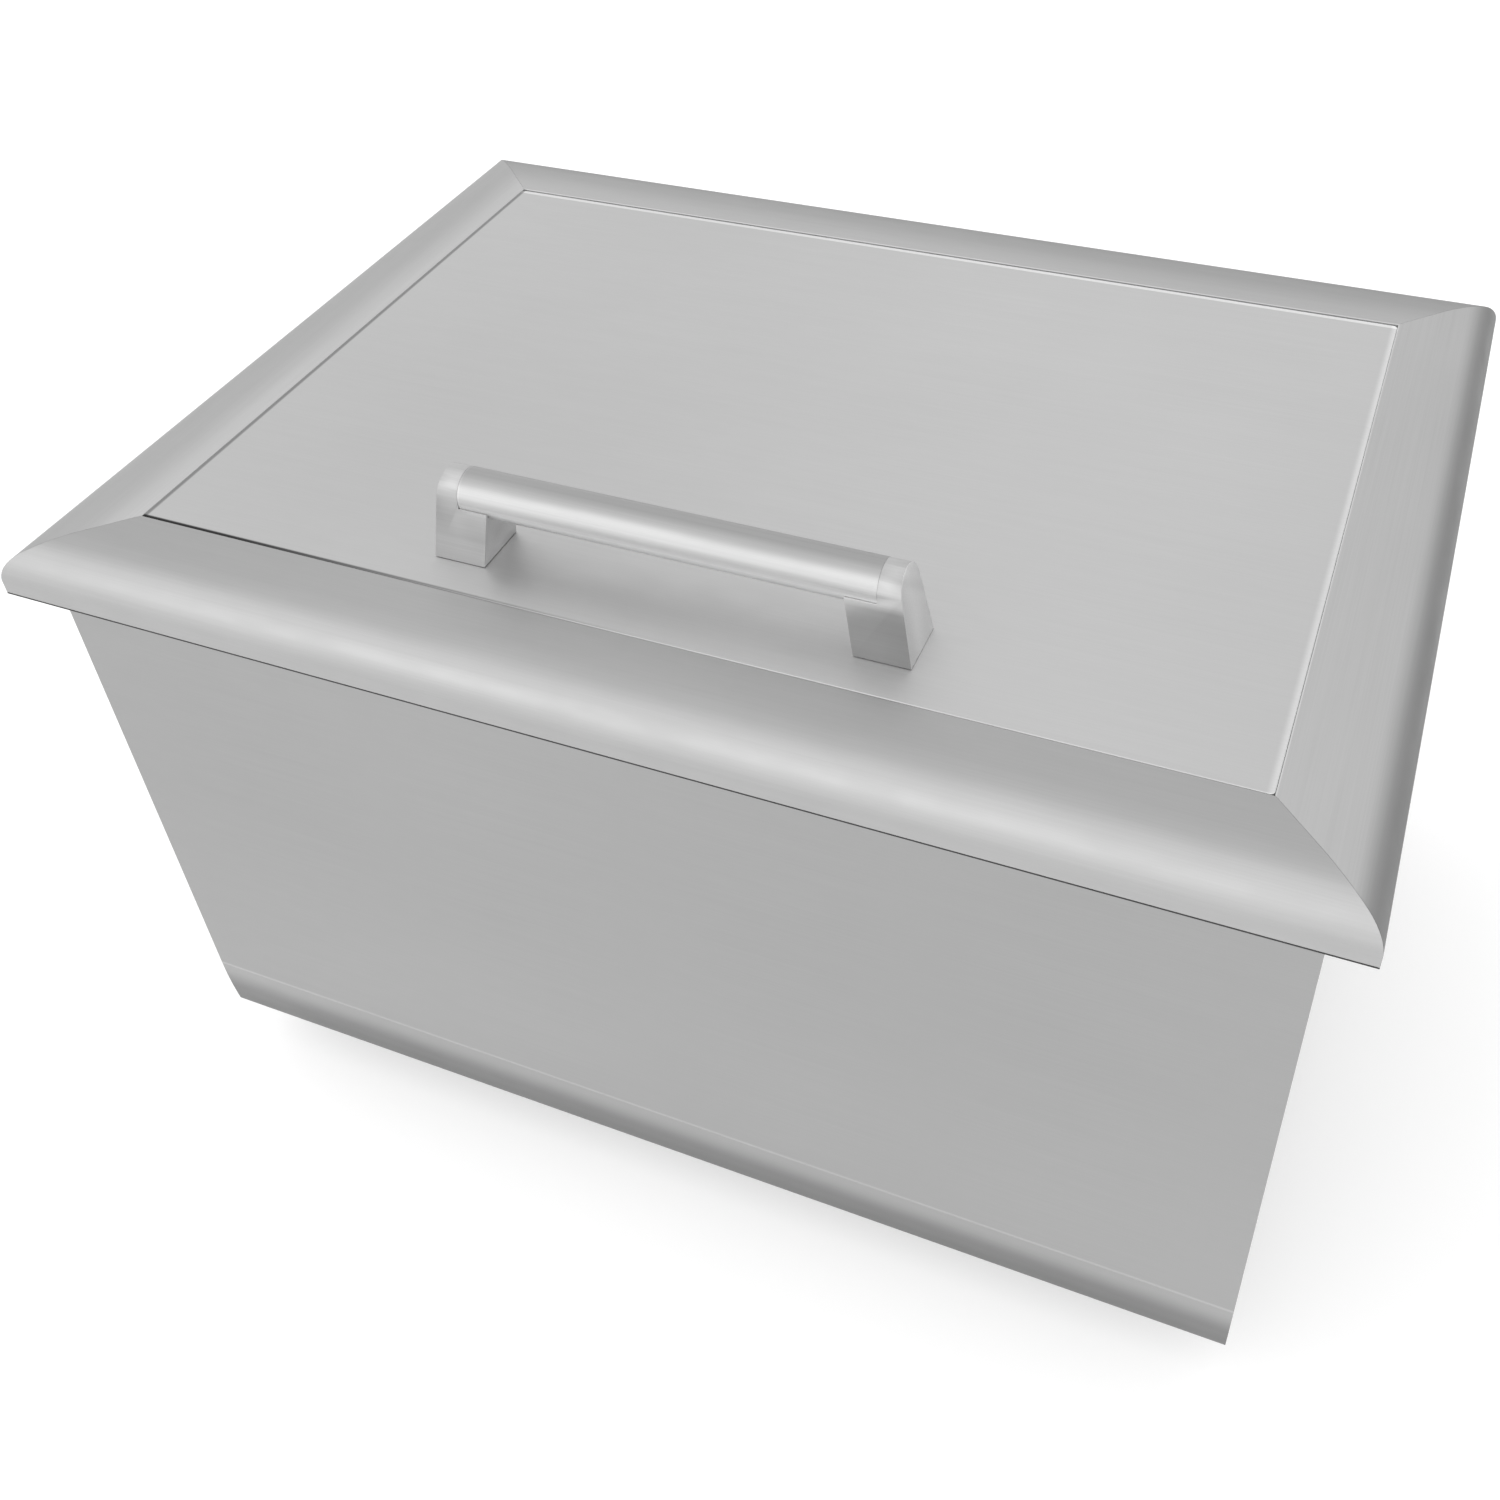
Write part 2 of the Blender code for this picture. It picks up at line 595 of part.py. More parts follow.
def make_lid_pans(finish):
    top = RAIL_RISE
    rings = [lid_rectangle(LID_SHEET, LID_INSIDE_CORNER, top - LID_SHEET)]
    rings.append(lid_rectangle(LID_SHEET, LID_INSIDE_CORNER, LID_BOTTOM))
    rings.append(lid_rectangle(0, LID_CORNER, LID_BOTTOM))
    for i in range(CORNER_STEPS + 1):
        angle = math.pi / 2 * i / CORNER_STEPS
        draw = LID_EDGE_RADIUS * (1 - math.cos(angle))
        level = top - LID_EDGE_RADIUS * (1 - math.sin(angle))
        rings.append(lid_rectangle(draw, LID_CORNER, level))
    loft("lid_top_pan", rings, finish["lid"])

    draw = LID_SHEET + GAP
    rim = LID_BOTTOM + INNER_PAN_FLANGE
    rings = [
        lid_rectangle(draw, LID_INSIDE_CORNER, LID_BOTTOM),
        lid_rectangle(draw, LID_INSIDE_CORNER, rim),
        lid_rectangle(draw + LID_SHEET, LID_INSIDE_CORNER, rim),
        lid_rectangle(draw + LID_SHEET, LID_INSIDE_CORNER, LID_BOTTOM + LID_SHEET),
    ]
    loft("lid_inner_pan", rings, finish["tub"])


def make_lid_gasket(finish):
    """A soft strip round the lid's underside. At the back it lies in front of the hinge, so it only lifts."""
    outer = LID_INSET + LID_GASKET_INSET
    inner = outer + LID_GASKET_WIDTH
    back_outer = LID_BACK_INSET + HINGE_SETBACK + LID_GASKET_INSET
    back_inner = back_outer + LID_GASKET_WIDTH
    top = LID_BOTTOM - GAP
    low = top - LID_GASKET_THICKNESS
    rings = [
        inset_rectangle(outer, LID_CORNER, low, back_outer),
        inset_rectangle(outer, LID_CORNER, top, back_outer),
        inset_rectangle(inner, LID_CORNER, top, back_inner),
        inset_rectangle(inner, LID_CORNER, low, back_inner),
    ]
    loft("lid_gasket", rings, finish["seal"], ring_shaped=True)


def block_corners(side, margin=0):
    """The hinge block's corners inside the lid's back corner."""
    outside = HALF_LENGTH - LID_INSET - LID_SHEET - GAP + margin
    inside = outside - BLOCK_LENGTH - 2 * margin
    back = HALF_DEPTH - LID_BACK_INSET - LID_SHEET - GAP + margin
    low = LID_BOTTOM + INNER_PAN_FLANGE + GAP - margin
    high = RAIL_RISE - LID_SHEET - GAP + margin
    edges = sorted((side * inside, side * outside))
    return (edges[0], back - BLOCK_DEPTH - 2 * margin, low), (edges[1], back, high)


def make_hinge(finish):
    for name, side in SIDES.items():
        low, high = block_corners(side)
        block = box_between(f"hinge_block_{name}", low, high, finish["nylon"])
        shoulder = HALF_LENGTH - RAIL_WIDTH
        bush_end = shoulder + BUSH_LENGTH
        tip = HALF_LENGTH - LID_INSET - LID_SHEET - GAP - BLOCK_LENGTH + BLOCK_BORE_END
        length = bush_end + GAP - tip
        pin_outline = [
            (PIN_RADIUS, 0),
            (PIN_RADIUS, length),
            (PIN_HEAD_RADIUS, length),
            (PIN_HEAD_RADIUS, length + PIN_HEAD_THICKNESS),
        ]
        pin = turned(f"hinge_pin_{name}", pin_outline, finish["screw"], steps=SMALL_STEPS)
        lay_along_x(pin, (side * tip, HINGE_Y, HINGE_Z), side)
        bore = PIN_RADIUS + GAP
        bush_outline = washer_section(bore, BUSH_RADIUS, 0, BUSH_LENGTH)
        bush = turned(f"hinge_bush_{name}", bush_outline, finish["nylon"], (0, 0), SMALL_STEPS, True)
        lay_along_x(bush, (side * shoulder, HINGE_Y, HINGE_Z), side)
        hole = turned(f"pin_hole_{name}", [(bore, -GAP), (bore, length)], steps=SMALL_STEPS)
        lay_along_x(hole, (side * tip, HINGE_Y, HINGE_Z), side)
        cut(block, hole)
        cut(bpy.data.objects["lid_top_pan"], hole)


def post_section():
    """The post's side outline: a round top that flares straight down to a wider base."""
    half = POST_BASE_DEPTH / 2
    height = TUBE_Z - POST_FOOT
    reach = math.hypot(half, height)
    start = math.atan2(-height, half) + math.acos(TUBE_RADIUS / reach)
    points = [(half, POST_FOOT)]
    for i in range(EDGE_STEPS + 1):
        angle = start + (math.pi - 2 * start) * i / EDGE_STEPS
        points.append((TUBE_RADIUS * math.cos(angle), TUBE_Z + TUBE_RADIUS * math.sin(angle)))
    points.append((-half, POST_FOOT))
    return points


def make_handle_post(name, side, finish):
    """A post with an end cap as round as the tube, and a foot that leans out and runs on under the tube."""
    section = post_section()
    outside = HANDLE_SPAN / 2
    height = TUBE_Z - POST_FOOT
    rings = []
    for place in (outside, outside - POST_LENGTH):
        ring = []
        for y, z in section:
            lean = POST_SPLAY * (TUBE_Z - z) / height
            ring.append(Vector((side * (place + lean), HANDLE_Y + y, z)))
        rings.append(ring)
    post = loft(f"handle_post_{name}", rings, finish["handle"])
    inner = outside - POST_LENGTH - POST_SPLAY
    joint = TUBE_HALF + GAP
    edges = sorted((side * inner, side * joint))
    room = POST_BASE_DEPTH
    above = box_between(f"cap_shoulder_{name}", (edges[0], HANDLE_Y - room, TUBE_Z - SADDLE_DROP),
                        (edges[1], HANDLE_Y + room, TUBE_Z + room))
    cut(post, above)
    saddle = turned(f"saddle_{name}", [(TUBE_RADIUS + GAP, 0), (TUBE_RADIUS + GAP, joint - inner)])
    lay_along_x(saddle, (side * inner, HANDLE_Y, TUBE_Z), side)
    cut(post, saddle)
    spigot_radius = TUBE_RADIUS - TUBE_WALL - GAP
    spigot = turned(f"spigot_{name}", [(spigot_radius, 0), (spigot_radius, SPIGOT_LENGTH + OVERRUN)])
    lay_along_x(spigot, (side * (joint - SPIGOT_LENGTH), HANDLE_Y, TUBE_Z), side)
    cut(post, spigot, "UNION")
    return post


def washer_section(hole, rim, low, high):
    """A flat ring's section, for turning."""
    return [(hole, low), (rim, low), (rim, high), (hole, high)]


def make_handle(finish):
    outline = washer_section(TUBE_RADIUS - TUBE_WALL, TUBE_RADIUS, 0, 2 * TUBE_HALF)
    tube = turned("handle_tube", outline, finish["handle"], ring_shaped=True)
    lay_along_x(tube, (-TUBE_HALF, HANDLE_Y, TUBE_Z))
    washer_top = RAIL_RISE - LID_SHEET - GAP
    seat = washer_top - HANDLE_WASHER_THICKNESS - GAP
    hole_radius = HANDLE_SCREW_RADIUS + GAP
    for name, side in SIDES.items():
        post = make_handle_post(name, side, finish)
        place = (side * HANDLE_SCREW_X, HANDLE_Y)
        length = POST_FOOT + HANDLE_SCREW_GRIP - seat
        screw(f"handle_screw_{name}", (*place, seat), HANDLE_SCREW_RADIUS, HANDLE_SCREW_HEAD_RADIUS,
              HANDLE_SCREW_HEAD_THICKNESS, length, finish["screw"])
        low = washer_top - HANDLE_WASHER_THICKNESS
        washer_outline = washer_section(hole_radius, HANDLE_WASHER_RADIUS, low, washer_top)
        turned(f"handle_washer_{name}", washer_outline, finish["screw"], place, ring_shaped=True)
        hole_outline = [(hole_radius, low), (hole_radius, seat + length + GAP)]
        hole = turned(f"post_hole_{name}", hole_outline, centre=place, steps=SMALL_STEPS)
        cut(post, hole)
        cut(bpy.data.objects["lid_top_pan"], hole)


def make_lid_foam(finish):
    draw = 2 * LID_SHEET + 2 * GAP
    inset = LID_INSET + draw
    back = HALF_DEPTH - LID_BACK_INSET - draw
    low = LID_BOTTOM + LID_SHEET + GAP
    high = RAIL_RISE - LID_SHEET - GAP
    foam = box_between("lid_foam", (inset - HALF_LENGTH, inset - HALF_DEPTH, low),
                       (HALF_LENGTH - inset, back, high), finish["foam"])
    for name, side in SIDES.items():
        near, far = block_corners(side, GAP)
        near = Vector(near)
        far = Vector(far)
        stretch = Vector((side * OVERRUN, 0, 0))
        low_corner = near + stretch if side < 0 else near
        high_corner = far + stretch if side > 0 else far
        high_corner = high_corner + Vector((0, OVERRUN, OVERRUN))
        cut(foam, box_between(f"block_pocket_{name}", low_corner, high_corner))
        pocket_floor = high - HANDLE_WASHER_THICKNESS - HANDLE_SCREW_HEAD_THICKNESS - OVERRUN
        pocket_radius = HANDLE_WASHER_RADIUS + GAP
        outline = [(pocket_radius, pocket_floor), (pocket_radius, high + OVERRUN)]
        cut(foam, turned(f"screw_pocket_{name}", outline, centre=(side * HANDLE_SCREW_X, HANDLE_Y)))


def make_drain(finish):
    """The drain fitting through the tub, the foam and the shell, with its washer, nut and strainer."""
    seat = TUB_FLOOR + GAP
    rim = seat + DRAIN_FLANGE_THICKNESS
    neck = -SHELL_DROP - DRAIN_NECK
    tip = neck - SPOUT_LENGTH
    shelf = rim - DRAIN_SEAT_DEPTH
    outline = [
        (DRAIN_SEAT_RADIUS, rim),
        (DRAIN_FLANGE_RADIUS - DRAIN_FLANGE_THICKNESS, rim),
        (DRAIN_FLANGE_RADIUS, seat),
        (DRAIN_RADIUS, seat),
        (DRAIN_RADIUS, neck),
        (SPOUT_RADIUS, neck),
    ]
    for i in range(BARB_COUNT):
        level = neck - BARB_PITCH * (i + 1)
        outline.append((SPOUT_RADIUS, level))
        outline.append((SPOUT_RADIUS + SPOUT_BARB, level))
    outline += [(SPOUT_RADIUS, tip), (SPOUT_BORE, tip), (SPOUT_BORE, neck)]
    outline += [(DRAIN_BORE, shelf - DRAIN_THROAT), (DRAIN_BORE, shelf), (DRAIN_SEAT_RADIUS, shelf)]
    turned("drain_fitting", outline, finish["drain"], ring_shaped=True)

    hole_radius = DRAIN_RADIUS + GAP
    hole = turned("drain_hole", [(hole_radius, -SHELL_DROP - OVERRUN), (hole_radius, TUB_FLOOR + OVERRUN)])
    cut(bpy.data.objects["tub_liner"], hole)
    cut(bpy.data.objects["shell_wrapper"], hole)

    washer_top = -SHELL_DROP - GAP
    washer_low = washer_top - DRAIN_WASHER_THICKNESS
    washer_outline = washer_section(hole_radius, DRAIN_WASHER_RADIUS, washer_low, washer_top)
    turned("drain_washer", washer_outline, finish["seal"], ring_shaped=True)
    nut_top = washer_low - GAP
    nut_low = nut_top - DRAIN_NUT_THICKNESS
    nut_outline = [(DRAIN_NUT_RADIUS, nut_low), (DRAIN_NUT_RADIUS, nut_top)]
    nut = turned("drain_nut", nut_outline, finish["drain"], steps=HEX_SIDES)
    cut(nut, turned("nut_bore", [(hole_radius, nut_low - OVERRUN), (hole_radius, nut_top + OVERRUN)]))

    strainer_low = shelf + GAP
    strainer_top = strainer_low + STRAINER_THICKNESS
    strainer_radius = DRAIN_SEAT_RADIUS - GAP
    strainer_outline = [(strainer_radius, strainer_low), (strainer_radius, strainer_top)]
    strainer = turned("drain_strainer", strainer_outline, finish["screw"])
    outline = [(STRAINER_HOLE_RADIUS, strainer_low - OVERRUN), (STRAINER_HOLE_RADIUS, strainer_top + OVERRUN)]
    for i in range(STRAINER_HOLE_COUNT):
        angle = 2 * math.pi * i / STRAINER_HOLE_COUNT
        place = (STRAINER_HOLE_CIRCLE * math.cos(angle), STRAINER_HOLE_CIRCLE * math.sin(angle))
        cut(strainer, turned(f"strainer_hole_{i + 1}", outline, centre=place, steps=SMALL_STEPS))
    make_plug(strainer_top + GAP, rim, finish)


def make_plug(foot, rim, finish):
    """The rubber stopper that sits in the drain's mouth, with the knob that it is lifted by."""
    cap = rim + GAP
    plug_radius = DRAIN_SEAT_RADIUS - GAP
    stem_hole = KNOB_STEM_RADIUS + GAP
    stopper_outline = [
        (stem_hole, foot),
        (plug_radius - STOPPER_TAPER, foot),
        (plug_radius, rim - GAP),
        (plug_radius, cap),
        (plug_radius + STOPPER_LIP, cap),
        (plug_radius + STOPPER_LIP, cap + STOPPER_LIP),
        (stem_hole, cap + STOPPER_LIP),
    ]
    turned("plug_stopper", stopper_outline, finish["stopper"], ring_shaped=True)
    collar = cap + STOPPER_LIP + GAP
    knob_foot = collar + KNOB_LIFT
    knob_top = knob_foot + KNOB_THICKNESS
    knob_outline = [
        (KNOB_STEM_RADIUS, foot + GAP),
        (KNOB_STEM_RADIUS, collar),
        (KNOB_COLLAR_RADIUS, collar),
        (KNOB_STEM_RADIUS, knob_foot),
        (KNOB_RADIUS, knob_foot + KNOB_BEVEL),
        (KNOB_RADIUS, knob_top - KNOB_BEVEL),
        (KNOB_STEM_RADIUS, knob_top),
    ]
    turned("plug_knob", knob_outline, finish["screw"])


def main():
    clear_scene()
    finish = make_materials()
    make_frame(finish)
    make_rim_gaskets(finish)
    make_cleats(finish)
    make_shell(finish)
    make_end_panels(finish)
    make_tub(finish)
    make_foam(finish)
    make_rim_screws(finish)
    make_lid_pans(finish)
    make_lid_gasket(finish)
    make_hinge(finish)
    make_handle(finish)
    make_lid_foam(finish)
    make_drain(finish)


main()
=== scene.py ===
"""Looks of the drop-in ice bin: brushed stainless steel in plain studio light, on a white floor."""

import json
import math

import bmesh
import bpy
from mathutils import Matrix, Vector


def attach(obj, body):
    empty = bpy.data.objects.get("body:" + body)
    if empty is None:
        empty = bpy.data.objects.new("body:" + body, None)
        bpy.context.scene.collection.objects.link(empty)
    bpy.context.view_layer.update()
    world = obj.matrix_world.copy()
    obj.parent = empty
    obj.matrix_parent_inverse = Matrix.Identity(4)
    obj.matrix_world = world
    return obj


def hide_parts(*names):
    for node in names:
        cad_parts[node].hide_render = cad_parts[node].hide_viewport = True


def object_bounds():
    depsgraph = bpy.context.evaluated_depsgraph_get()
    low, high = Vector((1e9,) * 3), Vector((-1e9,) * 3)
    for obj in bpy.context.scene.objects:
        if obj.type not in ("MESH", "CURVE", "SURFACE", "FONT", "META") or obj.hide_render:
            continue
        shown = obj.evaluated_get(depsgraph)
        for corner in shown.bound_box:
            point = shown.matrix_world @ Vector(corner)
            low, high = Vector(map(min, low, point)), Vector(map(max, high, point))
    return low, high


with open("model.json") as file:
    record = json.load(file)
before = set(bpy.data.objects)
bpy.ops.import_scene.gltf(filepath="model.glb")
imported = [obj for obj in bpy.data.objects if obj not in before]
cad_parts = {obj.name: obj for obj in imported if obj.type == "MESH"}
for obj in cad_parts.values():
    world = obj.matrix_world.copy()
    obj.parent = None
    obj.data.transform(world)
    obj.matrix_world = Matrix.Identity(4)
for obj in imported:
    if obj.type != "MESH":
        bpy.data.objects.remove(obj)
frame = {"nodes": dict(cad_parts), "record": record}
CAD_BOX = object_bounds()

# Camera, fitted to the photograph's straight edges
CAMERA_PLACE = (0.25769416, -0.57624398, 0.43569939)
CAMERA_RIGHT = (0.92580342, 0.37600384, -0.03884784)
CAMERA_DOWN = (0.21394388, -0.60593874, -0.76620249)
CAMERA_AHEAD = (-0.31163449, 0.70104163, -0.64142387)
FOCAL_PIXELS = 1640.3
IMAGE_PIXELS = 1500
AXIS_PIXEL = (816.6, 604.95)
SENSOR = 36
NEAREST = 0.01
FARTHEST = 100

# Studio. The backdrop's rise is the sine of its angle above the horizon. The dome's stops go from the side
# away from DOME_TOWARD, at 0, to the side that it points at, at 1, each with a strength.
BACKDROP_RISE = 0.28
DOME_TOWARD = (-0.40, -0.65, 0.65)
DOME_STOPS = [
    (0.0, 0.30), (0.15, 0.42), (0.30, 0.64), (0.42, 0.92),
    (0.62, 0.94), (0.78, 1.12), (0.90, 1.36), (1.0, 1.50),
]
LAMP_PLACE = (-0.9, -1.6, 1.7)
LAMP_AIM = (0, 0, -0.05)
LAMP_SIZE = (1.6, 1.1)
LAMP_POWER = 3.0
FLOOR_TONE = 0.66
FLOOR_GLOW = 0.44
FLOOR_SIZE = 30
FLOOR_GAP = 0.0005

# Sizes shared with the CAD
GAP = 0.0003
HALF_LENGTH = 0.286
HALF_DEPTH = 0.209
RAIL_WIDTH = 0.044
RAIL_RISE = 0.0215
RAIL_SHEET = 0.0015
NOSE_RADIUS = 0.0126
CROWN_RADIUS = 0.0515
CROWN_TILT = math.radians(20)
LIP_WIDTH = 0.0085
LIP_LEVEL = 0.0015
FOOT_LEVEL = 0.0008
SHELL_SHEET = 0.0012
SHELL_LENGTH = 0.5382
SHELL_HALF_DEPTH = 0.1966
SHELL_TOP = 0.003
SHELL_DROP = 0.2962
SHELL_FLANGE = 0.026
EDGE_RUN = 0.0022
EDGE_DROP = 0.0356
EDGE_RADIUS = 0.003
TUB_SHEET = 0.0012
TUB_FLANGE_LEVEL = 0.0033
TUB_FLANGE_EDGE = 0.0095
TUB_FLANGE_CORNER = 0.008
TUB_CORNER = 0.022
TUB_FLOOR_RADIUS = 0.018
TUB_FLOOR = -0.2632
CAVITY_INSET = 0.0565
CAVITY_BACK_INSET = 0.067
LEDGE_LEVEL = -0.008
LID_INSET = 0.0445
LID_BACK_INSET = 0.045
LID_BOTTOM = -0.0045
LID_SHEET = 0.0012
LID_CORNER = 0.002
LID_INSIDE_CORNER = 0.0008
LID_EDGE_RADIUS = 0.0015
HINGE_Y = 0.154
HINGE_Z = 0.0165
HINGE_SETBACK = 0.010
BUSH_RADIUS = 0.0029
PIN_HOLE_RADIUS = 0.0022
HANDLE_SPAN = 0.1995
HANDLE_Y = -0.1342
TUBE_RADIUS = 0.00975
TUBE_WALL = 0.0015
TUBE_Z = 0.0502
TUBE_HALF = 0.08975
POST_FOOT = 0.0218
POST_BASE_DEPTH = 0.0258
POST_LENGTH = 0.0235
POST_SPLAY = 0.0046
SADDLE_DROP = 0.003
LID_GASKET_INSET = 0.002
LID_GASKET_WIDTH = 0.008
LID_GASKET_THICKNESS = 0.0029
DRAIN_HOLE_RADIUS = 0.0173
DRAIN_RADIUS = 0.017
DRAIN_BORE = 0.013
DRAIN_FLANGE_RADIUS = 0.026
DRAIN_FLANGE_THICKNESS = 0.002
DRAIN_SEAT_DEPTH = 0.007
DRAIN_SEAT_RADIUS = 0.015
DRAIN_THROAT = 0.015
DRAIN_NECK = 0.014
SPOUT_RADIUS = 0.010
SPOUT_BORE = 0.0075
SPOUT_LENGTH = 0.020
STRAINER_THICKNESS = 0.001
STOPPER_LIP = 0.0022
STOPPER_TAPER = 0.0012
KNOB_RADIUS = 0.0065
KNOB_STEM_RADIUS = 0.0025
KNOB_LIFT = 0.004
KNOB_THICKNESS = 0.0035

# Finer shapes that only the scene has
SEAM = 0.00006
INNER_EDGE_RADIUS = 0.0005
CREASE = 0.00018
CREASE_HEIGHT = 0.0008
LID_SEAM_INSET = 0.04406
LID_FRONT_TAPER = 0.0008
LID_FINE_RADIUS = 0.0004
LID_GASKET_GROOVE = 0.0008
POST_ROUNDING = 0.0003
SPOUT_BARB = 0.0008
BARB_PITCH = 0.006
BARB_COUNT = 3
KNOB_COLLAR_RADIUS = 0.0047
SMALL_ROUNDING = 0.0006
KNOB_ROUNDING = 0.0014

# How far the cutters reach, and where they start inside a wall
CUTTER_REACH = 0.01
BUSH_CUTTER_LEAD = 0.002
PIN_CUTTER_LEAD = 0.005

# Steps of the curves, and the angles in degrees from which an edge is sharp
TURN_STEPS = 96
HINGE_HOLE_STEPS = 48
CORNER_STEPS = 12
ROUNDING_STEPS = 6
NOSE_STEPS = 28
CROWN_STEPS = 12
INNER_EDGE_STEPS = 8
SWEEP_STEPS = 24
EDGE_STEPS = 12
BOWL_STEPS = 14
LID_EDGE_STEPS = 14
POST_STEPS = 40
SHARP_ANGLE = 30
SHELL_SHARP_ANGLE = 12
POST_SHARP_ANGLE = 40

# Steel: the grain's stretch, each noise's scale, detail and roughness, and how far grain, clouds, rubbed
# marks and edge wear with its painted edge highlight change the tone and the roughness
GRAIN_LONG = 5
GRAIN_FINE = 1100
GRAIN_STRETCH = {
    "x": (GRAIN_LONG, GRAIN_FINE, GRAIN_FINE),
    "y": (GRAIN_FINE, GRAIN_LONG, GRAIN_FINE),
    "z": (GRAIN_FINE, GRAIN_FINE, GRAIN_LONG),
}
GRAIN_NOISE = (1.6, 4, 0.62)
GRAIN_SPREAD = 0.045
GRAIN_BUMP = 0.10
GRAIN_DEPTH = 0.00006
CLOUD_NOISE = (9, 3)
CLOUD_TONES = (0.99, 1.01)
CLOUD_ROUGHNESS = (0.96, 1.05)
MARK_NOISE = (1.3, 2)
MARK_SHORTER = 14
MARK_LEAST = 30
MARK_TURN = (0.02, 0.03, 0.05)
MARK_ROUGHNESS = (0.95, 1.06)
WORN_AND_HIGHLIGHT_TONES = (1, 1.12)
WORN_AND_HIGHLIGHT_EDGES = (0.52, 0.6)

# Rubber, nylon, plastic and foam
MOULDED_DETAIL = 4
MOULDED_CLOUD_NOISE = (25, 3)
MOULDED_GLOSS_SPREAD = 0.06
MOULDED_BUMP = 0.35
PORE_TONES = (0.82, 1.04)
PORE_EDGES = (0.05, 0.45)

# The part of a noise's range that a ramp uses
NOISE_LOW = 0.35
NOISE_HIGH = 0.65

SIDES = {"left": -1, "right": 1}


# Materials

def node(tree, kind, place, **settings):
    item = tree.nodes.new(kind)
    item.location = place
    for key, value in settings.items():
        setattr(item, key, value)
    return item


def ramp(tree, place, source, low, high, start=NOISE_LOW, end=NOISE_HIGH):
    """Map a value's range onto another range."""
    item = node(tree, "ShaderNodeMapRange", place)
    item.inputs["From Min"].default_value = start
    item.inputs["From Max"].default_value = end
    item.inputs["To Min"].default_value = low
    item.inputs["To Max"].default_value = high
    tree.links.new(source, item.inputs["Value"])
    return item.outputs["Result"]


def multiply(tree, place, first, second):
    item = node(tree, "ShaderNodeMath", place, operation="MULTIPLY")
    tree.links.new(first, item.inputs[0])
    tree.links.new(second, item.inputs[1])
    return item.outputs["Value"]


def times(tree, place, colour, share):
    """A colour scaled by a value."""
    item = node(tree, "ShaderNodeVectorMath", place, operation="SCALE")
    item.inputs[0].default_value = colour
    tree.links.new(share, item.inputs["Scale"])
    return item.outputs["Vector"]


def noise(tree, place, source, scale, detail, roughness=0.5):
    item = node(tree, "ShaderNodeTexNoise", place)
    item.inputs["Scale"].default_value = scale
    item.inputs["Detail"].default_value = detail
    item.inputs["Roughness"].default_value = roughness
    tree.links.new(source, item.inputs["Vector"])
    return item.outputs["Fac"]


def stretched(tree, place, source, scale, turn=(0, 0, 0)):
    item = node(tree, "ShaderNodeMapping", place)
    item.inputs["Scale"].default_value = scale
    item.inputs["Rotation"].default_value = turn
    tree.links.new(source, item.inputs["Vector"])
    return item.outputs["Vector"]


def add_bump(tree, place, height, strength, distance, shader):
    item = node(tree, "ShaderNodeBump", place)
    item.inputs["Strength"].default_value = strength
    item.inputs["Distance"].default_value = distance
    tree.links.new(height, item.inputs["Height"])
    tree.links.new(item.outputs["Normal"], shader.inputs["Normal"])


def new_material(name):
    item = bpy.data.materials.new(name)
    item.use_nodes = True
    return item, item.node_tree, item.node_tree.nodes["Principled BSDF"]


def along(tree, place, source, direction, start, end, low, high):
    """A share that goes from low to high as a place or a normal moves along a direction.

    The high share may itself be such a row, of places, and then it changes along a second direction.
    """
    item = node(tree, "ShaderNodeVectorMath", place, operation="DOT_PRODUCT")
    item.inputs[1].default_value = direction
    tree.links.new(source, item.inputs[0])
    inner = isinstance(high, tuple)
    far = 1 if inner else high
    share = ramp(tree, (place[0] + 180, place[1]), item.outputs["Value"], low, far, start, end)
    share.node.interpolation_type = "SMOOTHSTEP"
    if inner:
        places = source.node.outputs["Object"]
        tree.links.new(along(tree, (place[0] - 400, place[1]), places, *high), share.node.inputs["To Max"])
    return share


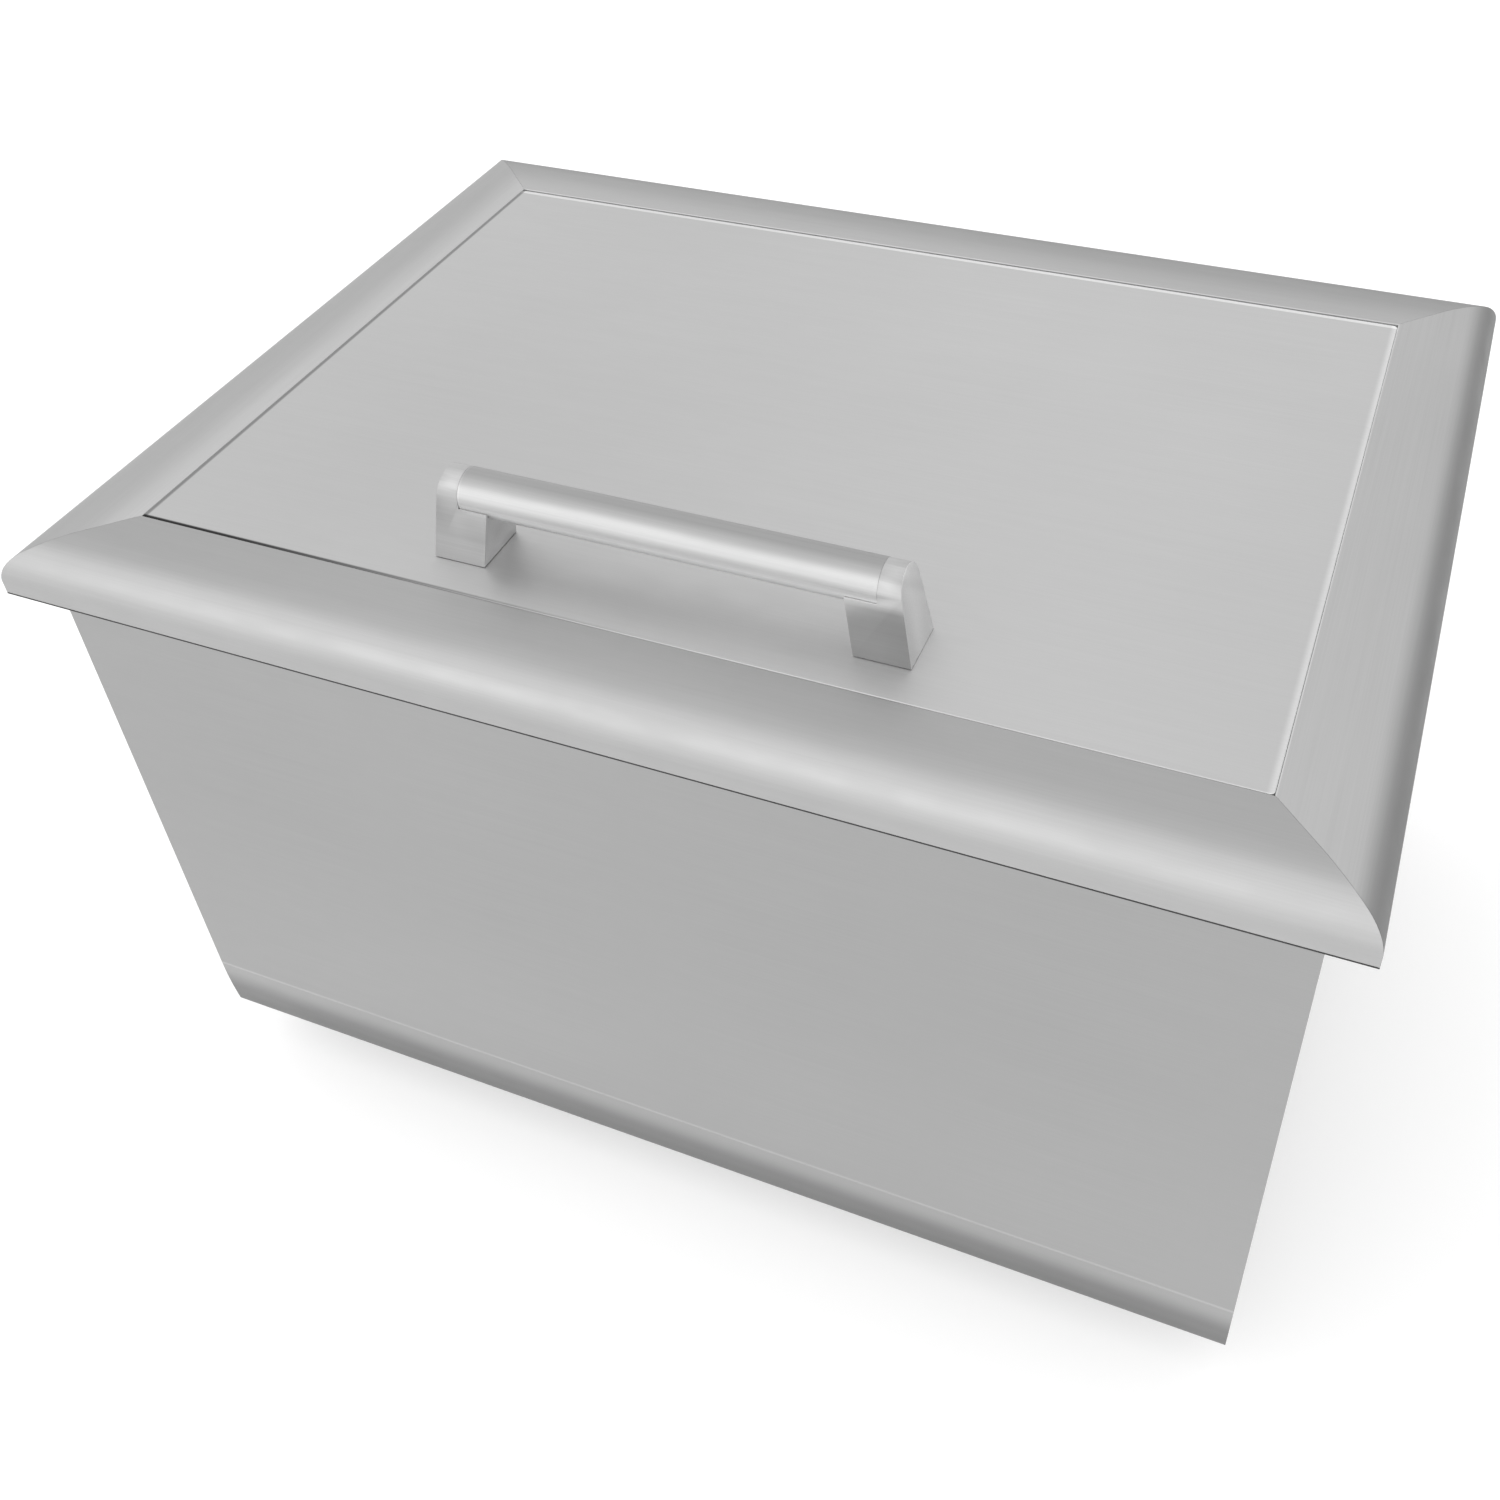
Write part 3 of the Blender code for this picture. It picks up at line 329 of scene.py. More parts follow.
def steel(name, colour, roughness, brush, grain, bands=(), faces=()):
    """Brushed stainless steel: long fine grain, faint cloudiness, small rubbed marks and brighter edges,
    which are partly edge wear and partly a painted edge highlight.

    Each band paints light or shade into the tone: a direction, the places along it where it starts and ends,
    and the tone's shares there. Each face paints light or shade by which way a face looks: a direction, the
    tone's share on the faces that look that way, and the cosines where it starts and is full.
    """
    item, tree, shader = new_material(name)
    place = node(tree, "ShaderNodeTexCoord", (-1500, 0))
    places = place.outputs["Object"]
    stretch = GRAIN_STRETCH[brush]
    mark_stretch = tuple(max(value / MARK_SHORTER, MARK_LEAST) for value in stretch)
    fine_places = stretched(tree, (-1300, 200), places, stretch)
    fine = noise(tree, (-1100, 200), fine_places, *GRAIN_NOISE)
    cloud = noise(tree, (-1100, -100), places, *CLOUD_NOISE)
    mark_places = stretched(tree, (-1300, -400), places, mark_stretch, MARK_TURN)
    marks = noise(tree, (-1100, -400), mark_places, *MARK_NOISE)
    edge = node(tree, "ShaderNodeNewGeometry", (-1100, -700)).outputs["Pointiness"]
    spread = GRAIN_SPREAD * grain

    shade = ramp(tree, (-800, 300), fine, 1 - spread, 1 + spread)
    drift = ramp(tree, (-800, 50), cloud, *CLOUD_TONES)
    # convex edges brighten: partly edge wear, partly a painted edge highlight
    worn_and_highlit = ramp(tree, (-800, -650), edge, *WORN_AND_HIGHLIGHT_TONES, *WORN_AND_HIGHLIGHT_EDGES)
    total = multiply(tree, (-600, 200), shade, drift)
    total = multiply(tree, (-450, 200), total, worn_and_highlit)
    for i, (direction, start, end, low, high) in enumerate(bands):
        share = along(tree, (-800, 500 + 160 * i), places, direction, start, end, low, high)
        total = multiply(tree, (-400, 500 + 160 * i), total, share)
    for i, (direction, high, start, full) in enumerate(faces):
        share = along(tree, (-800, 1300 + 160 * i), place.outputs["Normal"], direction, start, full, 1, high)
        total = multiply(tree, (-400, 1300 + 160 * i), total, share)
    tree.links.new(times(tree, (-250, 200), colour, total), shader.inputs["Base Color"])

    rough_fine = ramp(tree, (-800, -150), fine, roughness - spread, roughness + spread)
    rough_cloud = ramp(tree, (-800, -300), cloud, *CLOUD_ROUGHNESS)
    rough_marks = ramp(tree, (-800, -450), marks, *MARK_ROUGHNESS)
    rough = multiply(tree, (-600, -200), rough_fine, rough_cloud)
    rough = multiply(tree, (-450, -200), rough, rough_marks)
    tree.links.new(rough, shader.inputs["Roughness"])

    add_bump(tree, (-250, -400), fine, GRAIN_BUMP * grain, GRAIN_DEPTH, shader)
    shader.inputs["Metallic"].default_value = 1
    return item


def moulded(name, colour, roughness, scale=900, depth=0.00008, spread=0.06, speckle=None):
    """Rubber, nylon, plastic or foam: a fine surface grain, uneven gloss and a slight change of tone."""
    item, tree, shader = new_material(name)
    places = node(tree, "ShaderNodeTexCoord", (-1100, 0)).outputs["Object"]
    fine = noise(tree, (-900, 150), places, scale, MOULDED_DETAIL)
    broad = noise(tree, (-900, -150), places, *MOULDED_CLOUD_NOISE)
    shade = ramp(tree, (-650, 200), fine, 1 - spread, 1 + spread)
    drift = ramp(tree, (-650, 0), broad, 1 - spread, 1 + spread)
    total = multiply(tree, (-450, 150), shade, drift)
    if speckle:
        cells = node(tree, "ShaderNodeTexVoronoi", (-900, -450))
        cells.inputs["Scale"].default_value = speckle
        tree.links.new(places, cells.inputs["Vector"])
        pores = ramp(tree, (-650, -450), cells.outputs["Distance"], *PORE_TONES, *PORE_EDGES)
        total = multiply(tree, (-300, 150), total, pores)
    tree.links.new(times(tree, (-150, 150), colour, total), shader.inputs["Base Color"])
    duller = min(roughness + MOULDED_GLOSS_SPREAD, 1)
    rough = ramp(tree, (-450, -150), broad, roughness - MOULDED_GLOSS_SPREAD, duller)
    tree.links.new(rough, shader.inputs["Roughness"])
    add_bump(tree, (-250, -300), fine, MOULDED_BUMP, depth, shader)
    return item


def grey(value):
    return (value, value, value)


RIGHT, LEFT, BACK, FRONT, DOWN = (1, 0, 0), (-1, 0, 0), (0, 1, 0), (0, -1, 0), (0, 0, -1)
LID_HALF = HALF_LENGTH - LID_SEAM_INSET
LID_FRONT = HALF_DEPTH - LID_SEAM_INSET
LID_BACK = HALF_DEPTH - LID_BACK_INSET
RAIL_INSIDE = HALF_LENGTH - RAIL_WIDTH
BEND = SHELL_DROP - EDGE_DROP
LOW_STRIP = SHELL_DROP - 0.014

# Across the tube, from its upper back to its lower front, the way the handle's painted highlight bands run
ACROSS = (0, -0.657, -0.753)
TUBE_MIDDLE = ACROSS[1] * HANDLE_Y + ACROSS[2] * TUBE_Z


def over_tube(share):
    """A place across the tube, in shares of its radius from its middle."""
    return TUBE_MIDDLE + share * TUBE_RADIUS


# The bands follow the photograph's uneven greys from piece to piece
# The bands and faces below paint light and shade into the steel's tones, and the rails, the posts and the
# tube carry lit and shaded tones of one steel.
LOOKS = {
    "rail_front": steel("front rail steel", grey(0.425), 0.50, "x", 0.7, bands=[
        # a shaded tone of the rails' steel, and painted shade toward the left end
        (RIGHT, -0.28, -0.05, 0.92, 1),
        # painted highlight along the crown, then painted shade on the nose and foot
        (FRONT, HALF_DEPTH - 0.0188, HALF_DEPTH - 0.0095, 1,
         (RIGHT, -0.28, -0.05, 1.21, (RIGHT, -0.05, 0.26, 1.12, 1.17))),
        (FRONT, HALF_DEPTH - 0.0088, HALF_DEPTH - 0.0045, 1, 0.92),
        (FRONT, HALF_DEPTH - 0.0012, HALF_DEPTH, 1, 0.92),
    ]),
    "rail_back": steel("back rail steel", grey(0.505), 0.50, "x", 0.7, bands=[
        # a lit tone of the rails' steel, with painted shade growing outward over the crown and nose
        (BACK, HALF_DEPTH - 0.042, HALF_DEPTH - 0.014, 0.98, 0.77),
        (BACK, HALF_DEPTH - 0.020, HALF_DEPTH - 0.004, 1, 0.62),
    ]),
    "rail_left": steel("left rail steel", grey(0.53), 0.50, "y", 0.7, bands=[
        # a lit tone of the rails' steel, painted light near the inner edge and painted shade outward
        (LEFT, HALF_LENGTH - 0.043, HALF_LENGTH - 0.022, 1.03, 0.83),
        (LEFT, HALF_LENGTH - 0.026, HALF_LENGTH, 1, 0.86),
    ]),
    "rail_right": steel("right rail steel", grey(0.52), 0.50, "y", 0.7, bands=[
        # a lit tone of the rails' steel, with a slight painted brightening over the crown
        (RIGHT, HALF_LENGTH - 0.025, HALF_LENGTH - 0.015, 1, 1.03),
        # painted shade on the outer strip, and a painted highlight on the inner edge
        (RIGHT, HALF_LENGTH - 0.0145, HALF_LENGTH - 0.0015, 1, 0.40),
        (RIGHT, HALF_LENGTH - 0.002, HALF_LENGTH, 1, 0.80),
        (RIGHT, RAIL_INSIDE, RAIL_INSIDE + 2 * INNER_EDGE_RADIUS, 1.35, 1),
    ]),
    "shell": steel("shell steel", grey(0.335), 0.34, "x", 0.6, bands=[
        # painted shade toward the left end, and painted light lower down on the front and back
        (RIGHT, -0.28, -0.05, 0.955, 1),
        (DOWN, 0.10, BEND, 1, 1.07),
        # a painted highlight line where the bend starts, then painted shade on the strip below it
        (DOWN, BEND - 0.0012, BEND - 0.0004, 1, 1.25),
        (DOWN, BEND + 0.0004, BEND + 0.0012, 1, 0.84),
        (DOWN, BEND + 0.003, LOW_STRIP, 1, 0.55),
        (DOWN, LOW_STRIP, SHELL_DROP - 0.006, 1, 0.88),
    ]),
    "panel": steel("end panel steel", grey(0.335), 0.34, "x", 0.6),
    "tub": steel("tub steel", grey(0.58), 0.34, "x", 1.0),
    # darker than the tub's steel: painted shade against the bright light it faces when the lid is open
    "inner": steel("lid lining steel", grey(0.40), 0.40, "x", 1.0),
    "lid": steel("lid steel", grey(0.575), 0.50, "x", 0.5, bands=[
        # painted light growing toward the right and the back
        (RIGHT, -0.20, 0.20, 0.955, 1.065),
        (BACK, -0.15, 0.15, 0.965, 1.035),
        # painted highlight lines on the right and back edges, painted shade lines at the front left and on
        # the left
        (RIGHT, LID_HALF - 0.0034, LID_HALF - 0.0006, 1, 1.26),
        (BACK, LID_BACK - 0.0037, LID_BACK - 0.0034, 1, 1.34),
        (BACK, LID_BACK - LID_EDGE_RADIUS, LID_BACK - LID_EDGE_RADIUS / 2, 1, 1.35),
        (FRONT, LID_FRONT - 0.0017, LID_FRONT - 0.0007, 1, (RIGHT, -0.21, 0.03, 0.06, 1)),
        (LEFT, LID_HALF - 0.0026, LID_HALF - 0.0014, 1, 0.50),
        # painted light on the rounding under the top, against its shade in the gap
        (DOWN, 0.0002 - RAIL_RISE, 0.0006 - RAIL_RISE, 1,
         (DOWN, 0.0010 - RAIL_RISE, 0.0014 - RAIL_RISE, 1.3, 1)),
    ]),
    "tube": steel("handle tube steel", grey(0.44), 0.42, "x", 0.8, bands=[
        # painted shade on the upper back, painted highlight low on the front, and a painted highlight line at
        # the left joint
        (ACROSS, over_tube(-1), over_tube(-0.6), 1.08, 1),
        (ACROSS, over_tube(-0.25), over_tube(0.35), 0.79, 1.38),
        (ACROSS, over_tube(0.36), over_tube(0.50), 1, 0.90),
        (ACROSS, over_tube(0.58), over_tube(0.85), 1, 1.36),
        (LEFT, 0.03, TUBE_HALF - 0.01, 1, 1.03),
        (LEFT, TUBE_HALF - 0.0009, TUBE_HALF - 0.0006, 1, 1.10),
    ]),
    "post_left": steel("left post steel", grey(0.476), 0.42, "x", 0.8, bands=[
        # a lit tone of the handle's steel, painted shade on the cap and painted light below it
        (ACROSS, over_tube(-0.6), over_tube(-0.1), 1, 0.85),
        (ACROSS, over_tube(1.2), over_tube(2.2), 1, 1.17),
        # painted shade on the top of the foot under the tube
        (RIGHT, -0.092, -0.084, 1,
         (ACROSS, over_tube(0.98), over_tube(1.08), 1, (ACROSS, over_tube(1.3), over_tube(2.6), 0.92, 1))),
    ], faces=[
        # painted light on the faces that look right and front
        (RIGHT, (DOWN, -0.037, -0.025, 1.58, 1.74), 0.6, 0.9),
        (FRONT, 1.12, 0.6, 0.9),
    ]),
    "post_right": steel("right post steel", grey(0.53), 0.42, "x", 0.8, bands=[
        # a lit tone of the handle's steel, a painted shade valley on the cap, then a painted highlight
        (ACROSS, over_tube(-0.75), over_tube(-0.2), 1, 0.71),
        (ACROSS, over_tube(-0.15), over_tube(0.4), 1, 1.5),
    ], faces=[
        # painted light on the faces that look right
        (RIGHT, (FRONT, -HANDLE_Y, -HANDLE_Y + 0.0105, 1.52, 1.28), 0.6, 0.9),
        # painted light on its end, undoing the cap's painted shade valley there
        (RIGHT, (ACROSS, over_tube(-0.75), over_tube(-0.2), 1,
                 (ACROSS, over_tube(-0.15), over_tube(0.4), 1.38, 1)), 0.8, 0.95),
        # painted shade on the front face, growing downward
        (FRONT, (ACROSS, over_tube(0.8), over_tube(1.2), 0.95, 0.60), 0.93, 0.985),
    ]),
    "screw": steel("screw steel", grey(0.50), 0.33, "x", 0.8),
    "cleat": steel("cast cleat", grey(0.42), 0.55, "z", 0.4),
    "foam": moulded("insulation foam", (0.82, 0.79, 0.68), 0.92, 1500, 0.0002, 0.05, 420),
    "seal": moulded("seal rubber", grey(0.035), 0.62),
    "nylon": moulded("nylon", (0.74, 0.73, 0.69), 0.48),
    "drain": moulded("drain plastic", grey(0.05), 0.42),
    "stopper": moulded("stopper rubber", grey(0.045), 0.6),
}


# Geometry helpers

def mesh_from(name, bm, angle=SHARP_ANGLE):
    bmesh.ops.recalc_face_normals(bm, faces=bm.faces)
    mesh = bpy.data.meshes.new(name)
    bm.to_mesh(mesh)
    bm.free()
    mesh.shade_smooth()
    mesh.set_sharp_from_angle(angle=math.radians(angle))
    return mesh


def add_object(name, mesh, look=None):
    item = bpy.data.objects.new(name, mesh)
    bpy.context.scene.collection.objects.link(item)
    if look:
        mesh.materials.append(LOOKS[look])
    return item


def loft(name, rings, look=None, ring_shaped=False, angle=SHARP_ANGLE):
    """A skin over rings of points, closed by caps or back on its first ring."""
    bm = bmesh.new()
    loops = [[bm.verts.new(point) for point in ring] for ring in rings]
    count = len(loops[0])
    pairs = list(zip(loops, loops[1:]))
    if ring_shaped:
        pairs.append((loops[-1], loops[0]))
    for low, high in pairs:
        for i in range(count):
            j = (i + 1) % count
            bm.faces.new((low[i], low[j], high[j], high[i]))
    if not ring_shaped:
        bm.faces.new(loops[0])
        bm.faces.new(loops[-1])
    return add_object(name, mesh_from(name, bm, angle), look)


def turned(name, outline, look=None, steps=TURN_STEPS, ring_shaped=False):
    """A solid turned about the vertical axis from an outline of radii and levels."""
    turns = [2 * math.pi * i / steps for i in range(steps)]
    rings = []
    for radius, level in outline:
        rings.append([Vector((radius * math.cos(angle), radius * math.sin(angle), level)) for angle in turns])
    return loft(name, rings, look, ring_shaped)


def lay_along_x(item, start, side=1):
    item.data.transform(Matrix.Translation(start) @ Matrix.Rotation(side * math.pi / 2, 4, "Y"))
    return item


def box_between(name, low, high):
    bm = bmesh.new()
    bmesh.ops.create_cube(bm, size=1)
    centre = (Vector(low) + Vector(high)) / 2
    size = Vector(high) - Vector(low)
    place = Matrix.Translation(centre) @ Matrix.Diagonal((*size, 1))
    bmesh.ops.transform(bm, matrix=place, verts=bm.verts)
    return add_object(name, mesh_from(name, bm))


def carve(item, cutter):
    """Cut at once, and drop the cutter."""
    step = item.modifiers.new("carve", "BOOLEAN")
    step.operation = "DIFFERENCE"
    step.solver = "EXACT"
    step.object = cutter
    bake(item)
    bpy.data.objects.remove(cutter, do_unlink=True)


def bake(item):
    graph = bpy.context.evaluated_depsgraph_get()
    mesh = bpy.data.meshes.new_from_object(item.evaluated_get(graph))
    item.modifiers.clear()
    mesh.name = item.name
    item.data = mesh
    mesh.shade_smooth()
    mesh.set_sharp_from_angle(angle=math.radians(SHARP_ANGLE))


def soften(item, width, segments, angle):
    """Round the sharp edges."""
    step = item.modifiers.new("soften", "BEVEL")
    step.width = width
    step.segments = segments
    step.limit_method = "ANGLE"
    step.angle_limit = math.radians(angle)
    step.use_clamp_overlap = True
    step.harden_normals = False
    bake(item)


def rounded_rectangle(front, back, half_length, corner, level):
    centres = [
        (half_length - corner, back - corner, 0),
        (corner - half_length, back - corner, math.pi / 2),
        (corner - half_length, front + corner, math.pi),
        (half_length - corner, front + corner, 3 * math.pi / 2),
    ]
    points = []
    for x, y, start in centres:
        for i in range(CORNER_STEPS + 1):
            angle = start + math.pi / 2 * i / CORNER_STEPS
            points.append(Vector((x + corner * math.cos(angle), y + corner * math.sin(angle), level)))
    return points


def inset_rectangle(inset, corner, level, back_inset=None):
    """A rectangle inside the frame's outline."""
    back = inset if back_inset is None else back_inset
    return rounded_rectangle(inset - HALF_DEPTH, HALF_DEPTH - back, HALF_LENGTH - inset, corner, level)


def rounded(outline, radius, closed=True):
    """Round the corners of a section."""
    points = [Vector(point) for point in outline]
    result = []
    for i, corner in enumerate(points):
        if not closed and i in (0, len(points) - 1):
            result.append(corner)
            continue
        before = points[i - 1] - corner
        after = points[(i + 1) % len(points)] - corner
        half = before.angle(after) / 2
        reach = min(radius / math.tan(half), 0.45 * before.length, 0.45 * after.length)
        arc = reach * math.tan(half)
        middle = (before.normalized() + after.normalized()).normalized()
        centre = corner + middle * arc / math.sin(half)
        first = corner + before.normalized() * reach - centre
        last = corner + after.normalized() * reach - centre
        turn = math.pi - 2 * half
        if first.x * last.y < first.y * last.x:
            turn = -turn
        start = math.atan2(first.y, first.x)
        for k in range(ROUNDING_STEPS + 1):
            angle = start + turn * k / ROUNDING_STEPS
            result.append(centre + arc * Vector((math.cos(angle), math.sin(angle))))
    return result


def hinge_cutter(radius, start, side):
    """A round cutter that runs outward along the hinge's axis."""
    cutter = turned("hinge cutter", [(radius, 0), (radius, CUTTER_REACH)], steps=HINGE_HOLE_STEPS)
    return lay_along_x(cutter, (side * start, HINGE_Y, HINGE_Z), side)


def drain_cutter(level):
    outline = [(DRAIN_HOLE_RADIUS, level - CUTTER_REACH), (DRAIN_HOLE_RADIUS, level + CUTTER_REACH)]
    return turned("drain cutter", outline)


# Frame rails

def rail_section():
    """From the foot over the round nose and the flatter crown to the inner edge, and back inside."""
    crown_drop = CROWN_RADIUS * (1 - math.cos(CROWN_TILT))
    nose_centre = Vector((NOSE_RADIUS, RAIL_RISE - crown_drop - NOSE_RADIUS * math.cos(CROWN_TILT)))
    toward_crown = Vector((math.sin(CROWN_TILT), -math.cos(CROWN_TILT)))
    crown_centre = nose_centre + (CROWN_RADIUS - NOSE_RADIUS) * toward_crown

    def skin(depth):
        points = []
        for i in range(NOSE_STEPS):
            tilt = math.pi / 2 + (CROWN_TILT - math.pi / 2) * i / NOSE_STEPS
            points.append(nose_centre + (NOSE_RADIUS - depth) * Vector((-math.sin(tilt), math.cos(tilt))))
        for i in range(CROWN_STEPS + 1):
            tilt = CROWN_TILT * (1 - i / CROWN_STEPS)
            points.append(crown_centre + (CROWN_RADIUS - depth) * Vector((-math.sin(tilt), math.cos(tilt))))
        return points

    edge_centre = Vector((RAIL_WIDTH - INNER_EDGE_RADIUS, RAIL_RISE - INNER_EDGE_RADIUS))
    edge = []
    for i in range(INNER_EDGE_STEPS + 1):
        angle = math.pi / 2 * (1 - i / INNER_EDGE_STEPS)
        edge.append(edge_centre + INNER_EDGE_RADIUS * Vector((math.cos(angle), math.sin(angle))))
    foot = LEDGE_LEVEL + GAP
    section = [Vector((0, FOOT_LEVEL))] + skin(0) + edge
    section += [Vector((RAIL_WIDTH, foot)), Vector((RAIL_WIDTH - RAIL_SHEET, foot))]
    section += [Vector((RAIL_WIDTH - RAIL_SHEET, RAIL_RISE - RAIL_SHEET))]
    section += reversed(skin(RAIL_SHEET))
    section += [Vector((RAIL_SHEET, LIP_LEVEL + RAIL_SHEET)), Vector((LIP_WIDTH, LIP_LEVEL + RAIL_SHEET))]
    section += [Vector((LIP_WIDTH, LIP_LEVEL)), Vector((RAIL_SHEET, LIP_LEVEL))]
    section += [Vector((RAIL_SHEET, FOOT_LEVEL))]
    return section


def make_rails():
    section = rail_section()
    turns = {
        "rail_front": (HALF_LENGTH, (0, -HALF_DEPTH, 0), 0),
        "rail_right": (HALF_DEPTH, (HALF_LENGTH, 0, 0), math.pi / 2),
        "rail_back": (HALF_LENGTH, (0, HALF_DEPTH, 0), math.pi),
        "rail_left": (HALF_DEPTH, (-HALF_LENGTH, 0, 0), -math.pi / 2),
    }
    for name, (half, place, turn) in turns.items():
        rings = []
        for end in (-1, 1):
            rings.append([Vector((end * (half - point.x - SEAM), point.x, point.y)) for point in section])
        item = loft("fine_" + name, rings, name)
        item.data.transform(Matrix.Translation(place) @ Matrix.Rotation(turn, 4, "Z"))
        side = SIDES.get(name.removeprefix("rail_"))
        if side:
            carve(item, hinge_cutter(BUSH_RADIUS + GAP, RAIL_INSIDE - BUSH_CUTTER_LEAD, side))
        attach(item, "bin")
        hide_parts(name)


# Shell and tub

def shell_outline(inset, top, crease=0.0):
    """A U whose sides draw in along a shallow arc near the bottom and end in small corners."""
    bend_start = EDGE_DROP - SHELL_DROP
    sweep = (EDGE_RUN ** 2 + EDGE_DROP ** 2) / (2 * EDGE_RUN)
    reach = sweep - EDGE_RADIUS
    turn = math.asin((EDGE_DROP - EDGE_RADIUS) / reach)
    sweep_y = SHELL_HALF_DEPTH - sweep
    corner_y = sweep_y + reach * math.cos(turn)
    corner_z = EDGE_RADIUS - SHELL_DROP
    half = SHELL_HALF_DEPTH - inset
    side = []
    if crease:
        side = [(half, bend_start + CREASE_HEIGHT), (half + crease, bend_start + CREASE_HEIGHT / 2)]
    arc = sweep - inset
    for i in range(SWEEP_STEPS):
        angle = turn * i / SWEEP_STEPS
        side.append((sweep_y + arc * math.cos(angle), bend_start - arc * math.sin(angle)))
    corner = EDGE_RADIUS - inset
    for i in range(EDGE_STEPS + 1):
        angle = turn + (math.pi / 2 - turn) * i / EDGE_STEPS
        side.append((corner_y + corner * math.cos(angle), corner_z - corner * math.sin(angle)))
    front = [(-half, top)] + [(-y, z) for y, z in side]
    back = list(reversed(side)) + [(half, top)]
    return front + back


def make_shell():
    outer = shell_outline(0, SHELL_TOP, crease=CREASE)
    inner = shell_outline(SHELL_SHEET, SHELL_TOP - SHELL_SHEET)
    flange_edge = SHELL_HALF_DEPTH - SHELL_FLANGE
    section = outer + [(flange_edge, SHELL_TOP), (flange_edge, SHELL_TOP - SHELL_SHEET)]
    section += list(reversed(inner)) + [(-flange_edge, SHELL_TOP - SHELL_SHEET), (-flange_edge, SHELL_TOP)]
    rings = [[Vector((end * SHELL_LENGTH / 2, y, z)) for y, z in section] for end in (-1, 1)]
    item = loft("fine_shell", rings, "shell", angle=SHELL_SHARP_ANGLE)
    carve(item, drain_cutter(-SHELL_DROP))
    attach(item, "bin")
    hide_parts("shell_wrapper")


def bowl_rings(sheet, top, floor):
    """The tub's rounded floor and its walls up to a level."""
    radius = TUB_FLOOR_RADIUS + sheet
    rings = []
    for i in range(BOWL_STEPS + 1):
        angle = math.pi / 2 * i / BOWL_STEPS
        draw = radius * (1 - math.sin(angle))
        level = floor + radius * (1 - math.cos(angle))
        corner = TUB_CORNER + sheet - draw * TUB_CORNER / (TUB_CORNER + radius)
        inset = CAVITY_INSET - sheet + draw
        rings.append(inset_rectangle(inset, corner, level, CAVITY_BACK_INSET - sheet + draw))
    rings.append(inset_rectangle(CAVITY_INSET - sheet, TUB_CORNER + sheet, top, CAVITY_BACK_INSET - sheet))
    return rings


def make_tub():
    riser = RAIL_WIDTH - RAIL_SHEET - GAP
    under = TUB_FLANGE_LEVEL
    over = TUB_FLANGE_LEVEL + TUB_SHEET
    rings = bowl_rings(0, LEDGE_LEVEL, TUB_FLOOR)
    rings.append(inset_rectangle(riser, LID_INSIDE_CORNER, LEDGE_LEVEL))
    rings.append(inset_rectangle(riser, LID_INSIDE_CORNER, over))
    rings.append(inset_rectangle(TUB_FLANGE_EDGE, TUB_FLANGE_CORNER, over))
    rings.append(inset_rectangle(TUB_FLANGE_EDGE, TUB_FLANGE_CORNER, under))
    rings.append(inset_rectangle(riser - TUB_SHEET, LID_INSIDE_CORNER + TUB_SHEET, under))
    rings.append(inset_rectangle(riser - TUB_SHEET, LID_INSIDE_CORNER + TUB_SHEET, LEDGE_LEVEL - TUB_SHEET))
    rings += list(reversed(bowl_rings(TUB_SHEET, LEDGE_LEVEL - TUB_SHEET, TUB_FLOOR - TUB_SHEET)))
    item = loft("fine_tub", rings, "tub")
    carve(item, drain_cutter(TUB_FLOOR))
    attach(item, "bin")
    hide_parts("tub_liner")


# Lid and handle

def lid_rectangle(draw, corner, level, back_draw=None, front_draw=None):
    """A rectangle inside the lid's outline."""
    back = LID_BACK - (draw if back_draw is None else back_draw)
    front = (draw if front_draw is None else front_draw) - LID_FRONT
    return rounded_rectangle(front, back, LID_HALF - draw, corner, level)


def make_lid():
    """The front leans in below the hinge's level, so that it clears the rail as the lid swings."""
    top = RAIL_RISE
    rings = [lid_rectangle(LID_SHEET, LID_INSIDE_CORNER, top - LID_SHEET)]
    rings.append(lid_rectangle(LID_SHEET, LID_INSIDE_CORNER, LID_BOTTOM))
    rings.append(lid_rectangle(0, LID_CORNER, LID_BOTTOM, front_draw=LID_FRONT_TAPER))
    rings.append(lid_rectangle(0, LID_CORNER, HINGE_Z))
    for i in range(LID_EDGE_STEPS + 1):
        angle = math.pi / 2 * i / LID_EDGE_STEPS
        back_draw = LID_EDGE_RADIUS * (1 - math.cos(angle))
        depth = LID_EDGE_RADIUS * (1 - math.sin(angle))
        rise = max(LID_FINE_RADIUS - depth, 0)
        draw = LID_FINE_RADIUS - math.sqrt(LID_FINE_RADIUS ** 2 - rise ** 2)
        rings.append(lid_rectangle(draw, LID_CORNER, top - depth, back_draw))
    item = loft("fine_lid", rings, "lid")
    for side in SIDES.values():
        carve(item, hinge_cutter(PIN_HOLE_RADIUS, HALF_LENGTH - LID_INSET - PIN_CUTTER_LEAD, side))
    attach(item, "lid")
    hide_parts("lid_top_pan")


def post_section():
    """A foot as wide as the base, whose flanks run up to a round cap over the tube."""
    half = POST_BASE_DEPTH / 2
    height = TUBE_Z - POST_FOOT
    reach = math.hypot(half, height)
    start = math.atan2(-height, half) + math.acos(TUBE_RADIUS / reach)
    points = [(half, POST_FOOT)]
    for i in range(POST_STEPS + 1):
        angle = start + (math.pi - 2 * start) * i / POST_STEPS
        points.append((TUBE_RADIUS * math.cos(angle), TUBE_Z + TUBE_RADIUS * math.sin(angle)))
    points.append((-half, POST_FOOT))
    return points


